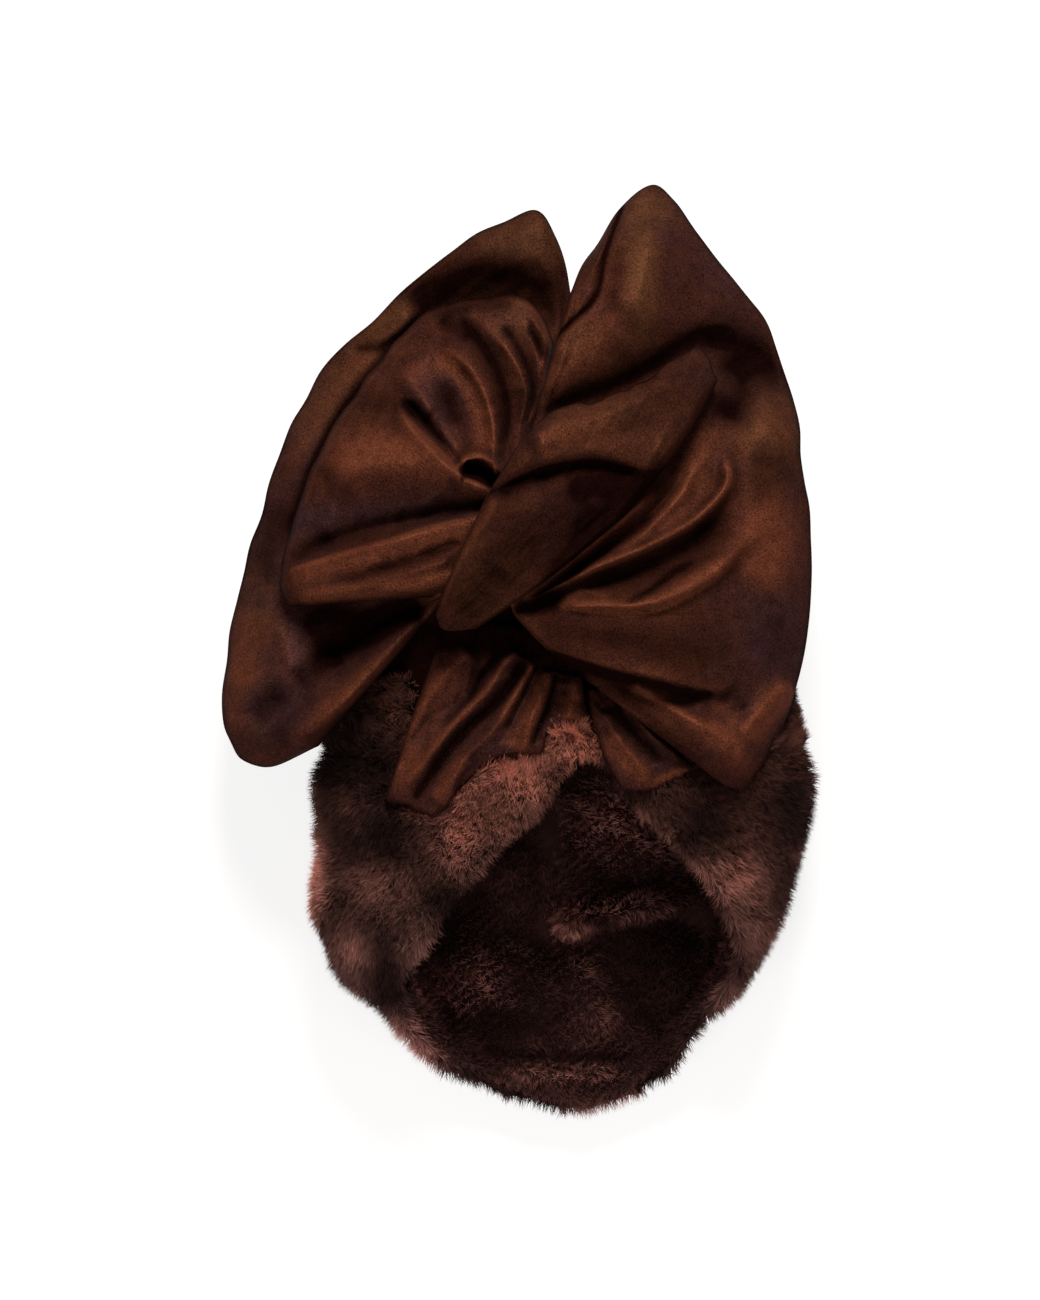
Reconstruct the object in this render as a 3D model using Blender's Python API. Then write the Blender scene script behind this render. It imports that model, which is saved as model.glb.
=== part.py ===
"""A satin turban headwrap with a fur band and a large padded bow, lying on its back.

Metres, +Z up. The origin is on the surface it lies on, under the middle of its outline. +Y runs from the nape
to the tips of the bow, +X to the right of someone who looks at its front.

The head goes in at the oval opening, between the two sides of the fur band. Bearings go round the head's axis:
0 is the front centre, uppermost here, 90 the right side, 180 the nape, on the surface, and 270 the left side.
"""

import math

import bmesh
import bpy
import numpy as np
from mathutils import Vector
from mathutils.bvhtree import BVHTree

# The cap: its skin is the outer face of the satin and of the fur's backing.
CAP_WIDTH = 0.237
CAP_HEIGHT = 0.102
CAP_X = 0.0215
NAPE_Y = -0.2245
SEAM_Y = -0.037
CROWN_Y = 0.092
APEX_HEIGHT = 0.025
APEX_X = 0.0245
PEAK_SHIFT = 0.018  # the front centre lies this far to the right of the cap's middle
PEAK_FOCUS = 4  # how much the shift keeps to the front: 1 reaches all round
FLATTENED = 0.25  # share of the half height that the surface presses in
PRESS_SOFTNESS = 0.12  # share of the half height over which the pressed face turns up
RIM_EASE = 3.0  # how fast the skin spreads from the rim to the full cross-section
CROWN_TOP_EASE = 0.9
CROWN_BOTTOM_EASE = 0.5
CROWN_SIDE_EASE = 1.15

# Walls and gaps
BACKING = 0.0025
PILE = 0.005
SEAM_PILE = 0.0025
SHORT_PILE_FROM = 0.8  # the station where the pile starts to thin towards the seam
UNLOCKED = 0.020  # no locks this close to the seam
LOCK_RISE = 0.0032
LOCK_LEAN = 0.0035
LOCK_TIP = 0.42  # inset of a lock's tip, as a share of half its width
LINING = 0.0045
LINING_LOCK_RISE = 0.0022
WALL_GAP = 0.0015
LAYER_GAP = 0.0008

# The bow is drawn on a grid of this size round the origin, in hundredths of each side.
BOW_GRID_X = 0.300
BOW_GRID_Y = 0.300
LOOP_PAD = 0.0190
FOLD_PAD = 0.0150
BAND_PAD = 0.0190
HUB_WALL = 0.0040
EDGE_WALL = 0.0030
EDGE_LIFT = 0.0030
GATHER_WALL = 0.0024
FOLD_RISE = 0.0125
FOLD_REACH = 1.4
DRAPE_SLOPE = 0.62  # how steeply a padded layer falls from what it lies on
SEAM_ROUND = 6  # how squarely the padding ends at a layer's two sides
HUB_FILL = 0.12  # how far into its swelling the padding starts at the hub
SWELL_EASE = 0.6
FOLD_END = 0.25  # share of a fold's height at its two ends
FOLD_RUN = 6  # steepness with which it then grows
EDGE_RUN = 8  # steepness with which folds grow from a layer's sides and edge
EDGE_FOLD = 0.1
HUB_FOLD = 0.4

# Rim of the opening: across and up as shares of half the cap's width and of its height,
# along as a share of its length from the nape.
RIM = (
    # bearing, across, along, up
    (0, 0.154, 0.558, 0.97),
    (20, 0.271, 0.476, 0.96),
    (45, 0.488, 0.403, 0.90),
    (70, 0.662, 0.321, 0.775),
    (90, 0.729, 0.232, 0.59),
    (110, 0.690, 0.143, 0.38),
    (135, 0.535, 0.060, 0.21),
    (160, 0.288, 0.013, 0.13),
    (180, 0.054, 0.000, 0.12),
    (200, -0.213, 0.014, 0.13),
    (225, -0.500, 0.057, 0.21),
    (250, -0.650, 0.127, 0.38),
    (270, -0.655, 0.190, 0.59),
    (290, -0.560, 0.263, 0.775),
    (315, -0.346, 0.368, 0.90),
    (340, -0.079, 0.482, 0.96),
)

# Cross-sections of the cap between the nape and the seam, in the same shares.
TUBE = (
    # along, centre across, half width, height
    (0.000, -0.03, 0.900, 0.90),
    (0.235, -0.03, 0.975, 0.97),
    (0.360, -0.01, 1.000, 1.00),
    (0.480, 0.00, 1.000, 1.00),
    (0.600, 0.00, 0.950, 0.98),
)

# Lines of the bow: station across the layer, then place on the bow's grid.
LEFT_LOOP_HUB = ((0.0, -1.1, 29.8), (0.5, -6.8, 19.8), (1.0, -12.8, 7.2))
LEFT_LOOP_EDGE = (
    (0.00, 8.4, 59.3),
    (0.06, 5.8, 68.2),
    (0.11, 1.9, 73.5),
    (0.15, -3.1, 71.5),
    (0.22, -11.8, 66.0),
    (0.31, -23.3, 56.3),
    (0.40, -33.4, 45.8),
    (0.49, -39.3, 33.7),
    (0.58, -43.4, 21.3),
    (0.67, -46.9, 9.2),
    (0.76, -48.9, -3.2),
    (0.84, -48.8, -14.0),
    (0.90, -45.4, -18.5),
    (0.95, -40.8, -19.7),
    (1.00, -33.4, -16.0),
)
LEFT_FOLD_HUB = ((0.0, 1.6, 32.8), (0.5, -4.4, 21.5), (1.0, -10.6, 8.8))
LEFT_FOLD_EDGE = (
    (0.00, 5.9, 50.7),
    (0.08, 2.9, 56.8),
    (0.16, -1.1, 58.8),
    (0.27, -8.8, 58.7),
    (0.37, -15.1, 56.3),
    (0.49, -22.4, 48.7),
    (0.60, -28.9, 39.8),
    (0.71, -34.4, 30.2),
    (0.82, -38.1, 19.3),
    (0.92, -39.6, 10.7),
    (1.00, -38.4, 7.0),
)
RIGHT_LOOP_HUB = (
    (0.00, 0.9, 32.3),
    (0.30, -1.1, 19.8),
    (0.60, -1.4, 8.2),
    (0.85, 1.0, 3.6),
    (1.00, 5.5, -0.8),
)
RIGHT_LOOP_EDGE = (
    (0.00, 8.4, 59.3),
    (0.06, 12.3, 66.5),
    (0.12, 17.3, 73.8),
    (0.17, 22.3, 77.7),
    (0.21, 25.6, 75.2),
    (0.30, 33.3, 65.2),
    (0.38, 40.4, 56.2),
    (0.46, 44.6, 46.3),
    (0.54, 46.8, 36.2),
    (0.62, 47.9, 26.2),
    (0.70, 48.6, 15.7),
    (0.78, 48.3, 5.2),
    (0.85, 46.4, -4.5),
    (0.91, 42.9, -14.0),
    (0.96, 38.3, -21.5),
    (0.98, 35.1, -22.7),
    (1.00, 31.6, -20.5),
)
KNOT_BAND_TIP = ((0.0, -13.8, 6.2), (0.5, -12.3, 3.2), (1.0, -6.8, 3.3))
KNOT_BAND_MIDDLE = ((0.0, -6.4, 22.8), (0.5, 6.5, 23.2), (1.0, 18.6, 23.5))
KNOT_BAND_END = (
    (0.0, 1.4, 36.2),
    (0.2, 5.3, 41.2),
    (0.4, 13.9, 43.5),
    (0.6, 22.3, 47.8),
    (0.8, 29.3, 51.2),
    (1.0, 33.1, 46.2),
)
FRONT_GATHERS_HUB = ((0.0, -12.5, 4.0), (0.5, -1.5, 4.2), (1.0, 9.5, 0.6))
FRONT_GATHERS_HEM = (
    (0.00, -22.3, -24.8),
    (0.12, -17.9, -26.2),
    (0.25, -12.9, -27.2),
    (0.33, -10.1, -23.5),
    (0.46, -3.4, -18.2),
    (0.60, 3.6, -17.8),
    (0.70, 4.6, -14.2),
    (0.85, 8.6, -13.0),
    (1.00, 12.3, -12.2),
)
SIDE_GATHER_HUB = ((0.0, 11.3, -6.8), (1.0, 16.6, -5.8))
SIDE_GATHER_MIDDLE = ((0.0, 13.1, -15.5), (1.0, 22.8, -13.2))
SIDE_GATHER_HEM = ((0.0, 17.3, -23.0), (0.35, 20.4, -23.7), (0.7, 24.9, -21.8), (1.0, 29.3, -19.7))

# Folds: a curve from its start past its middle to its end on the bow's grid, its height as a share of
# FOLD_RISE, negative for a valley, and its reach to the left and right of the curve, in the grid's hundredths.
LEFT_LOOP_FOLDS = (
    # start x, start y, middle x, middle y, end x, end y, height, left, right
    (-19.8, 58.2, -8.1, 62.8, 4.4, 59.8, -0.60, 4.0, 4.0),
    (-15.1, 6.5, -28.1, -5.2, -38.4, -15.5, 0.90, 2.5, 2.5),
    (-14.8, 7.2, -28.1, 3.2, -37.8, 1.5, -0.90, 4.0, 3.5),
    (-36.4, -6.8, -41.8, -10.5, -44.8, -13.2, -0.50, 3.5, 3.5),
)
LEFT_FOLD_FOLDS = (
    (-4.4, 26.5, -19.8, 27.2, -36.4, 24.0, 1.20, 5.0, 6.0),
    (-8.1, 21.8, -23.1, 18.8, -38.4, 13.8, -0.80, 2.2, 2.2),
    (-9.4, 20.2, -23.1, 15.5, -38.9, 10.7, 0.70, 3.0, 3.5),
    (-4.4, 26.8, -14.8, 33.5, -21.1, 40.5, 0.50, 4.0, 1.5),
    (-5.1, 32.8, -5.4, 42.3, -13.1, 51.0, 0.90, 4.0, 3.0),
    (-2.3, 34.8, -4.4, 46.5, -9.4, 55.5, -0.80, 2.0, 2.0),
    (0.9, 37.3, -1.4, 48.2, -5.6, 56.8, 0.60, 2.2, 2.2),
)
RIGHT_LOOP_FOLDS = (
    (4.4, 38.2, 20.3, 45.7, 35.3, 53.2, -0.90, 4.0, 4.0),
    (35.3, 53.2, 41.9, 49.8, 46.4, 40.7, -0.40, 4.0, 4.0),
    (22.3, 75.7, 20.3, 63.2, 13.6, 50.7, 0.60, 6.0, 6.0),
    (-0.1, 7.0, 21.9, 17.3, 35.3, 32.3, 0.70, 2.2, 2.2),
    (3.6, 7.3, 24.4, 12.3, 37.8, 24.8, -0.70, 2.5, 2.5),
    (13.6, 5.2, 30.3, 8.8, 44.4, 24.8, 0.70, 2.5, 5.0),
    (-1.1, 1.5, 13.6, -1.8, 32.3, -5.8, 0.80, 5.0, 1.5),
    (16.6, -5.5, 26.1, -10.5, 34.4, -17.2, 0.60, 2.2, 2.2),
    (45.9, -7.2, 40.3, -12.2, 35.3, -17.8, 0.50, 2.0, 2.0),
)
KNOT_BAND_FOLDS = (
    (0.3, 29.8, 13.6, 37.3, 30.3, 44.0, 0.60, 5.0, 5.0),
    (-2.3, 24.8, 11.1, 31.2, 22.8, 26.8, -0.70, 2.2, 2.5),
    (-0.6, 8.2, 11.9, 17.3, 22.8, 26.5, 0.50, 1.8, 1.8),
    (4.4, 13.2, 13.6, 22.3, 20.3, 26.5, -0.50, 2.2, 2.2),
)
FRONT_GATHERS_FOLDS = (
    (-8.1, -0.5, -15.1, -8.5, -20.4, -24.3, 0.50, 1.7, 1.7),
    (-4.4, -0.5, -11.4, -10.5, -17.3, -25.2, 0.45, 1.4, 1.4),
    (-0.6, -0.2, -6.8, -11.0, -14.4, -26.0, 0.55, 1.5, 1.5),
    (2.8, -0.5, -2.3, -10.5, -9.4, -22.7, 0.50, 1.5, 1.5),
    (5.6, -1.8, 2.8, -10.2, -0.6, -17.7, 0.50, 1.6, 1.6),
    (8.3, -2.8, 7.3, -8.5, 6.6, -13.2, 0.40, 1.5, 1.5),
)
SIDE_GATHER_FOLDS = ((13.6, -7.2, 17.8, -14.3, 23.6, -21.0, 0.40, 2.0, 2.0),)

# How finely each piece is divided
CAP_SIDES = 36
BAND_STATIONS = 8
CROWN_STATIONS = (0.0, 0.24, 0.46, 0.66, 0.82, 0.94)
ROLL_TURNS = (0.2, 0.5, 0.8)
SLOPE_STEP = 0.004  # in stations, for a surface's direction
SUPPORT_STEP = 0.004
SUPPORT_REACH_X = 0.56
SUPPORT_REACH_Y = 0.84
ABOVE_ALL = 1.0
DRAPE_ROUNDS = 60
SMOOTH_ROUNDS = 12
FOLD_POINTS = 17
CLEARANCE_SPOTS = 4
CLEARANCE_ROUNDS = 3


def curve_value(rows, at):
    """The row of a table at a station, on a smooth curve through its rows."""
    stations = [row[0] for row in rows]
    values = np.array([row[1:] for row in rows], float)
    if len(rows) == 2:
        share = (at - stations[0]) / (stations[1] - stations[0])
        return values[0] + (values[1] - values[0]) * share
    i = int(np.clip(np.searchsorted(stations, at) - 1, 0, len(rows) - 2))
    span = stations[i + 1] - stations[i]
    share = min(max((at - stations[i]) / span, 0.0), 1.0)

    def slope(k):
        low, high = max(k - 1, 0), min(k + 1, len(rows) - 1)
        return (values[high] - values[low]) / (stations[high] - stations[low])

    start, end = values[i], values[i + 1]
    lead, trail = slope(i) * span, slope(i + 1) * span
    rise = 3 * share**2 - 2 * share**3
    return (
        start * (1 - rise)
        + end * rise
        + lead * (share - 2 * share**2 + share**3)
        + trail * (share**3 - share**2)
    )


def rim_point(bearing):
    """The rim's point at a bearing in degrees."""
    around = RIM[-2:] + RIM + RIM[:2]
    turns = (-360, -360) + (0,) * len(RIM) + (360, 360)
    rows = [(row[0] + turn, *row[1:]) for row, turn in zip(around, turns)]
    across, along, up = curve_value(rows, bearing % 360)
    return Vector(
        (
            CAP_X + across * CAP_WIDTH / 2,
            NAPE_Y + along * (CROWN_Y - NAPE_Y),
            up * CAP_HEIGHT,
        )
    )


def pressed(height, floor, softness):
    """A height that the surface below stops, with a soft start."""
    above = height - floor
    if above <= -softness:
        return floor
    if above >= softness:
        return height
    return floor + (above + softness) ** 2 / (4 * softness)


def section_point(bearing, y, centre, half_width, top, bottom):
    """A point of the cap's flattened cross-section."""
    turn = math.radians(bearing)
    half = (top - bottom) / 2
    height = (top + bottom) / 2 + half * math.cos(turn)
    height -= FLATTENED * half * (1 - math.cos(turn)) / 2
    frontness = ((1 + math.cos(turn)) / 2) ** PEAK_FOCUS
    share = half_width / (CAP_WIDTH / 2)
    return Vector(
        (
            centre + half_width * math.sin(turn) + PEAK_SHIFT * frontness * share,
            y,
            pressed(height, bottom, PRESS_SOFTNESS * half),
        )
    )


def tube_values(y):
    """Centre, half width and height of the cap's cross-section at a place along it."""
    along = (y - NAPE_Y) / (CROWN_Y - NAPE_Y)
    centre, half_width, height = curve_value(TUBE, along)
    return (
        CAP_X + centre * CAP_WIDTH / 2,
        half_width * CAP_WIDTH / 2,
        height * CAP_HEIGHT,
    )


def band_point(bearing, station):
    """The skin between the rim, station 0, and the seam, station 1."""
    rim = rim_point(bearing)
    y = rim.y + (SEAM_Y - rim.y) * station
    tube = section_point(bearing, y, *tube_values(y), 0.0)
    reach = (SEAM_Y - rim.y) / (SEAM_Y - NAPE_Y)
    share = 1 - (1 - station) ** (1 + RIM_EASE * reach)
    point = rim.lerp(tube, share)
    return Vector((point.x, y, point.z))


def crown_point(bearing, station):
    """The skin of the crown between the seam, station 0, and its far end, station 1."""
    turn = math.radians(90 * station)
    centre, half_width, height = tube_values(SEAM_Y)
    y = SEAM_Y + (CROWN_Y - SEAM_Y) * math.sin(turn)
    closing = max(math.cos(turn), 0.0)
    top = APEX_HEIGHT + (height - APEX_HEIGHT) * closing**CROWN_TOP_EASE
    bottom = APEX_HEIGHT * (1 - closing**CROWN_BOTTOM_EASE)
    centre += (APEX_X - centre) * (1 - closing)
    return section_point(bearing, y, centre, half_width * closing**CROWN_SIDE_EASE, top, bottom)


def wall_point(surface, bearing, station, offset):
    """A point of a surface moved outwards along its normal, and no lower than what it lies on."""
    low = min(max(station - SLOPE_STEP, 0.0), 1 - 2 * SLOPE_STEP)
    across = surface(bearing + 1, station) - surface(bearing - 1, station)
    along = surface(bearing, low + 2 * SLOPE_STEP) - surface(bearing, low)
    normal = across.cross(along).normalized()
    point = surface(bearing, station) + normal * offset
    return Vector((point.x, point.y, max(point.z, 0.0 if offset >= 0 else -offset)))


def rim_roll(bearing, outer, inner):
    """Points round the rolled edge at the rim, from the outer offset to the inner one."""
    radius, middle = (outer - inner) / 2, (outer + inner) / 2
    ahead = (band_point(bearing, 0) - band_point(bearing, 0.02)).normalized()
    points = []
    for turn in ROLL_TURNS:
        level = middle + radius * math.cos(turn * math.pi)
        point = wall_point(band_point, bearing, 0, level)
        point += ahead * radius * math.sin(turn * math.pi)
        points.append(Vector((point.x, point.y, max(point.z, 0.0))))
    return points


def bearings():
    return [360 * i / CAP_SIDES for i in range(CAP_SIDES)]


def band_stations():
    return [(i / BAND_STATIONS) ** 1.25 for i in range(BAND_STATIONS + 1)]


def band_ring(station, offset):
    return [wall_point(band_point, b, station, offset) for b in bearings()]


def crown_ring(station, offset):
    return [wall_point(crown_point, b, station, offset) for b in bearings()]


def pole(offset):
    """The crown's far end, moved outwards by an offset."""
    end = crown_point(0, 1.0)
    return Vector((end.x, end.y + offset, end.z))


def roll_rings(outer, inner):
    rolls = [rim_roll(b, outer, inner) for b in bearings()]
    return [[roll[k] for roll in rolls] for k in range(len(ROLL_TURNS))]


def loft_rings(mesh, rings, closed=False):
    """Faces between rings that follow each other. Returns the faces of each step."""
    rows = [[mesh.verts.new(point) for point in ring] for ring in rings]
    pairs = list(zip(rows, rows[1:]))
    if closed:
        pairs.append((rows[-1], rows[0]))
    steps = []
    for low, high in pairs:
        count = len(low)
        quads = [
            (low[i], low[(i + 1) % count], high[(i + 1) % count], high[i])
            for i in range(count)
        ]
        steps.append([mesh.faces.new(quad) for quad in quads])
    return rows, steps


def close_with_pole(mesh, row, point):
    tip = mesh.verts.new(point)
    count = len(row)
    for i in range(count):
        mesh.faces.new((row[i], row[(i + 1) % count], tip))


def raise_locks(mesh, faces, rise, lean):
    """Gives each face a lock of fur: an inset tip that stands out and leans towards the rim."""
    made = bmesh.ops.extrude_discrete_faces(mesh, faces=faces)["faces"]
    for face in made:
        face.normal_update()
        centre, normal = face.calc_center_median(), face.normal.copy()
        towards = Vector((0, -1, 0)) - normal * Vector((0, -1, 0)).dot(normal)
        for vertex in face.verts:
            tip = vertex.co.lerp(centre, LOCK_TIP) + normal * rise + towards * lean
            vertex.co = tip


def face_outwards(mesh):
    """Turns the faces of a closed mesh outwards, also where the mesh is a thin wall."""
    bmesh.ops.recalc_face_normals(mesh, faces=mesh.faces)
    if mesh.calc_volume(signed=True) < 0:
        bmesh.ops.reverse_faces(mesh, faces=mesh.faces)


def finish_object(name, mesh, colour, roughness, collection):
    """Turns a bmesh into a named object with its own material."""
    face_outwards(mesh)
    data = bpy.data.meshes.new(name)
    mesh.to_mesh(data)
    mesh.free()
    data.shade_smooth()
    material = bpy.data.materials.new(name)
    material.use_nodes = True
    shader = material.node_tree.nodes["Principled BSDF"]
    shader.inputs["Base Color"].default_value = (*colour, 1)
    shader.inputs["Roughness"].default_value = roughness
    data.materials.append(material)
    made = bpy.data.objects.new(name, data)
    collection.objects.link(made)
    return made


def make_fur_band(collection):
    """The fur round the opening, from its rolled rim to the seam, in locks on a backing."""
    stations = band_stations()

    def pile(station):
        return PILE + (SEAM_PILE - PILE) * max(0.0, station - SHORT_PILE_FROM) / (1 - SHORT_PILE_FROM)

    outer = [band_ring(station, pile(station)) for station in reversed(stations)]
    inner = [band_ring(station, -BACKING) for station in stations[::2]]
    mesh = bmesh.new()
    rings = outer + roll_rings(PILE, -BACKING) + inner
    _, steps = loft_rings(mesh, rings, closed=True)
    face_outwards(mesh)
    locked = [
        face
        for step in steps[: BAND_STATIONS + 1]
        for face in step
        if min(vertex.co.z for vertex in face.verts) > LOCK_RISE + LOCK_LEAN
        and face.calc_center_median().y < SEAM_Y - UNLOCKED
    ]
    raise_locks(mesh, locked, LOCK_RISE, LOCK_LEAN)
    return finish_object("fur_band", mesh, (0.075, 0.038, 0.030), 0.95, collection)


def make_fur_lining(collection):
    """The fur inside the cap, which shows through the opening."""
    outer, inner = -BACKING - WALL_GAP, -BACKING - WALL_GAP - LINING
    tube, far = band_stations()[::2], CROWN_STATIONS[1:-2]
    mesh = bmesh.new()
    rings = [crown_ring(station, outer) for station in reversed(far)]
    rings += [band_ring(station, outer) for station in reversed(tube)]
    rings += roll_rings(outer, inner)
    rings += [band_ring(station, inner) for station in tube]
    rings += [crown_ring(station, inner) for station in far]
    rows, steps = loft_rings(mesh, rings)
    close_with_pole(mesh, rows[0], pole(outer))
    close_with_pole(mesh, rows[-1], pole(inner))
    face_outwards(mesh)
    first_inner = len(far) + len(tube) + len(ROLL_TURNS)
    locked = [
        face
        for k, step in enumerate(steps[first_inner : first_inner + len(tube) - 2])
        for i, face in enumerate(step)
        if (i + k) % 2 and face.calc_center_median().y < SEAM_Y - UNLOCKED
    ]
    raise_locks(mesh, locked, LINING_LOCK_RISE, LINING_LOCK_RISE)
    return finish_object("fur_lining", mesh, (0.030, 0.012, 0.012), 0.95, collection)


def make_crown(collection):
    """The satin crown behind the bow, one closed wall from the seam to the far end."""
    start = WALL_GAP / (CROWN_Y - SEAM_Y)
    stations = [max(station, start) for station in CROWN_STATIONS]
    mesh = bmesh.new()
    rings = [crown_ring(station, 0.0) for station in reversed(stations)]
    rings += [crown_ring(station, -BACKING) for station in stations]
    rows, _ = loft_rings(mesh, rings)
    close_with_pole(mesh, rows[0], pole(0.0))
    close_with_pole(mesh, rows[-1], pole(-BACKING))
    return finish_object("crown", mesh, (0.085, 0.036, 0.022), 0.45, collection)


class Support:
    """Heights, on a regular grid over the outline, of what the next layer lies on."""

    def __init__(self):
        reach_x, reach_y = SUPPORT_REACH_X * BOW_GRID_X, SUPPORT_REACH_Y * BOW_GRID_Y
        self.x = np.arange(-reach_x, reach_x, SUPPORT_STEP)
        self.y = np.arange(-reach_y, reach_y, SUPPORT_STEP)
        self.top = np.zeros((len(self.x), len(self.y)))
        self.trees = []

    def add(self, made):
        """Lays a finished piece on the grid."""
        tree = BVHTree.FromObject(made, bpy.context.evaluated_depsgraph_get())
        self.trees.append(tree)
        for i, x in enumerate(self.x):
            for j, y in enumerate(self.y):
                hit = tree.ray_cast(Vector((x, y, ABOVE_ALL)), Vector((0, 0, -1)))[0]
                if hit is not None:
                    self.top[i, j] = max(self.top[i, j], hit.z)

    def draped(self):
        """Heights of a padded layer that falls from the pieces below at a limited slope."""
        heights = self.top.copy()
        straight, diagonal = DRAPE_SLOPE * SUPPORT_STEP, DRAPE_SLOPE * SUPPORT_STEP * math.sqrt(2)
        shifts = [(a, b) for a in (-1, 0, 1) for b in (-1, 0, 1) if a or b]
        for _ in range(DRAPE_ROUNDS):
            padded = np.pad(heights, 1)
            for a, b in shifts:
                fall = diagonal if a and b else straight
                moved = padded[1 + a : 1 + a + heights.shape[0], 1 + b : 1 + b + heights.shape[1]]
                heights = np.maximum(heights, moved - fall)
        for _ in range(SMOOTH_ROUNDS):
            padded = np.pad(heights, 1, mode="edge")
            mean = (padded[:-2, 1:-1] + padded[2:, 1:-1] + padded[1:-1, :-2] + padded[1:-1, 2:]) / 4
            heights = np.maximum(mean, self.top)
        return heights

    def height(self, heights, x, y):
        """A height between the grid's points, and never below the pieces themselves."""
        i = float(np.clip((x - self.x[0]) / SUPPORT_STEP, 0, len(self.x) - 1.001))
        j = float(np.clip((y - self.y[0]) / SUPPORT_STEP, 0, len(self.y) - 1.001))
        a, b = int(i), int(j)
        s, t = i - a, j - b
        found = (
            heights[a, b] * (1 - s) * (1 - t)
            + heights[a + 1, b] * s * (1 - t)
            + heights[a, b + 1] * (1 - s) * t
            + heights[a + 1, b + 1] * s * t
        )
        for tree in self.trees:
            hit = tree.ray_cast(Vector((x, y, ABOVE_ALL)), Vector((0, 0, -1)))[0]
            if hit is not None:
                found = max(found, hit.z)
        return found


def fold_height(x, y, folds):
    """The summed height of the folds at a point of the bow."""
    total = 0.0
    spot = np.array((100 * x / BOW_GRID_X, 100 * y / BOW_GRID_Y))
    for sx, sy, mx, my, ex, ey, height, left, right in folds:
        start, middle, end = np.array((sx, sy)), np.array((mx, my)), np.array((ex, ey))
        turn = 2 * middle - (start + end) / 2
        shares = np.linspace(0, 1, FOLD_POINTS)[:, None]
        line = start * (1 - shares) ** 2 + 2 * turn * shares * (1 - shares) + end * shares**2
        away = spot - line
        distance = np.hypot(away[:, 0], away[:, 1])
        k = int(distance.argmin())
        ahead = line[min(k + 1, FOLD_POINTS - 1)] - line[max(k - 1, 0)]
        side = ahead[0] * away[k, 1] - ahead[1] * away[k, 0]
        reach = FOLD_REACH * (left if side > 0 else right)
        ends = min(1.0, FOLD_END + FOLD_RUN * min(shares[k, 0], 1 - shares[k, 0]))
        total += height * ends * math.exp(-((distance[k] / reach) ** 2))
    return total * FOLD_RISE


def layer_places(lines, sides, stations):
    """Where the layer's grid lies, seen from above, from its hub line to its edge line."""
    hub, middle, edge = lines
    places = np.zeros((sides + 1, stations + 1, 2))
    for i in range(sides + 1):
        start, end = curve_value(hub, i / sides), curve_value(edge, i / sides)
        through = (start + end) / 2 if middle is None else curve_value(middle, i / sides)
        for j in range(stations + 1):
            v = j / stations
            place = start * (1 - v) * (1 - 2 * v) + through * 4 * v * (1 - v) + end * v * (2 * v - 1)
            places[i, j] = place[0] * BOW_GRID_X / 100, place[1] * BOW_GRID_Y / 100
    return places


def lift_clear(places, bases, draped, support):
    """Raises a layer's underside until it clears, also between its corners, what it lies on."""
    spots = np.linspace(0, 1, CLEARANCE_SPOTS)
    for _ in range(CLEARANCE_ROUNDS):
        for i in range(bases.shape[0] - 1):
            for j in range(bases.shape[1] - 1):
                cell, corners = places[i : i + 2, j : j + 2], bases[i : i + 2, j : j + 2]
                for s in spots:
                    for t in spots:
                        shares = np.outer((1 - s, s), (1 - t, t))
                        x, y = (cell * shares[:, :, None]).sum((0, 1))
                        lack = support.height(draped, x, y) + LAYER_GAP - (corners * shares).sum()
                        if lack > 0:
                            corners += lack * shares / (shares**2).sum()


def make_layer(name, lines, folds, pad, support, collection, look, sides, stations, edge_lift):
    """A padded layer between its hub line and its edge line, laid on the pieces below.

    Its underside follows what carries it. Its upper side stands off by the padding and carries the folds.
    """
    draped = support.draped()
    places = layer_places(lines, sides, stations)
    bases = np.zeros(places.shape[:2])
    for i, j in np.ndindex(bases.shape):
        lift = LAYER_GAP + edge_lift * (j / stations) ** 4
        bases[i, j] = support.height(draped, *places[i, j]) + lift
    lift_clear(places, bases, draped, support)
    mesh = bmesh.new()
    bmesh.ops.create_grid(mesh, x_segments=sides, y_segments=stations, size=0.5)
    upper = bmesh.ops.extrude_face_region(mesh, geom=mesh.faces[:])
    upper = {item for item in upper["geom"] if isinstance(item, bmesh.types.BMVert)}
    for vertex in mesh.verts:
        u, v = vertex.co.x + 0.5, vertex.co.y + 0.5
        i, j = round(u * sides), round(v * stations)
        x, y = places[i, j]
        z = bases[i, j]
        if vertex in upper:
            filled = HUB_FILL + (1 - HUB_FILL) * v
            swell = (1 - (2 * u - 1) ** SEAM_ROUND) * max(math.sin(math.pi * filled), 0.0) ** SWELL_EASE
            wall = HUB_WALL + (EDGE_WALL - HUB_WALL) * v if pad else GATHER_WALL
            from_edge = EDGE_FOLD + EDGE_RUN * min(u, 1 - u, 1 - v)
            kept = min(1.0, from_edge, HUB_FOLD + EDGE_RUN * v)
            body = pad * swell + fold_height(x, y, folds) * kept
            z += max(wall + body, wall)
        vertex.co = (x, y, z)
    made = finish_object(name, mesh, *look, collection)
    support.add(made)
    return made


def clear_scene():
    for old in list(bpy.data.objects):
        bpy.data.objects.remove(old)


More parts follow.
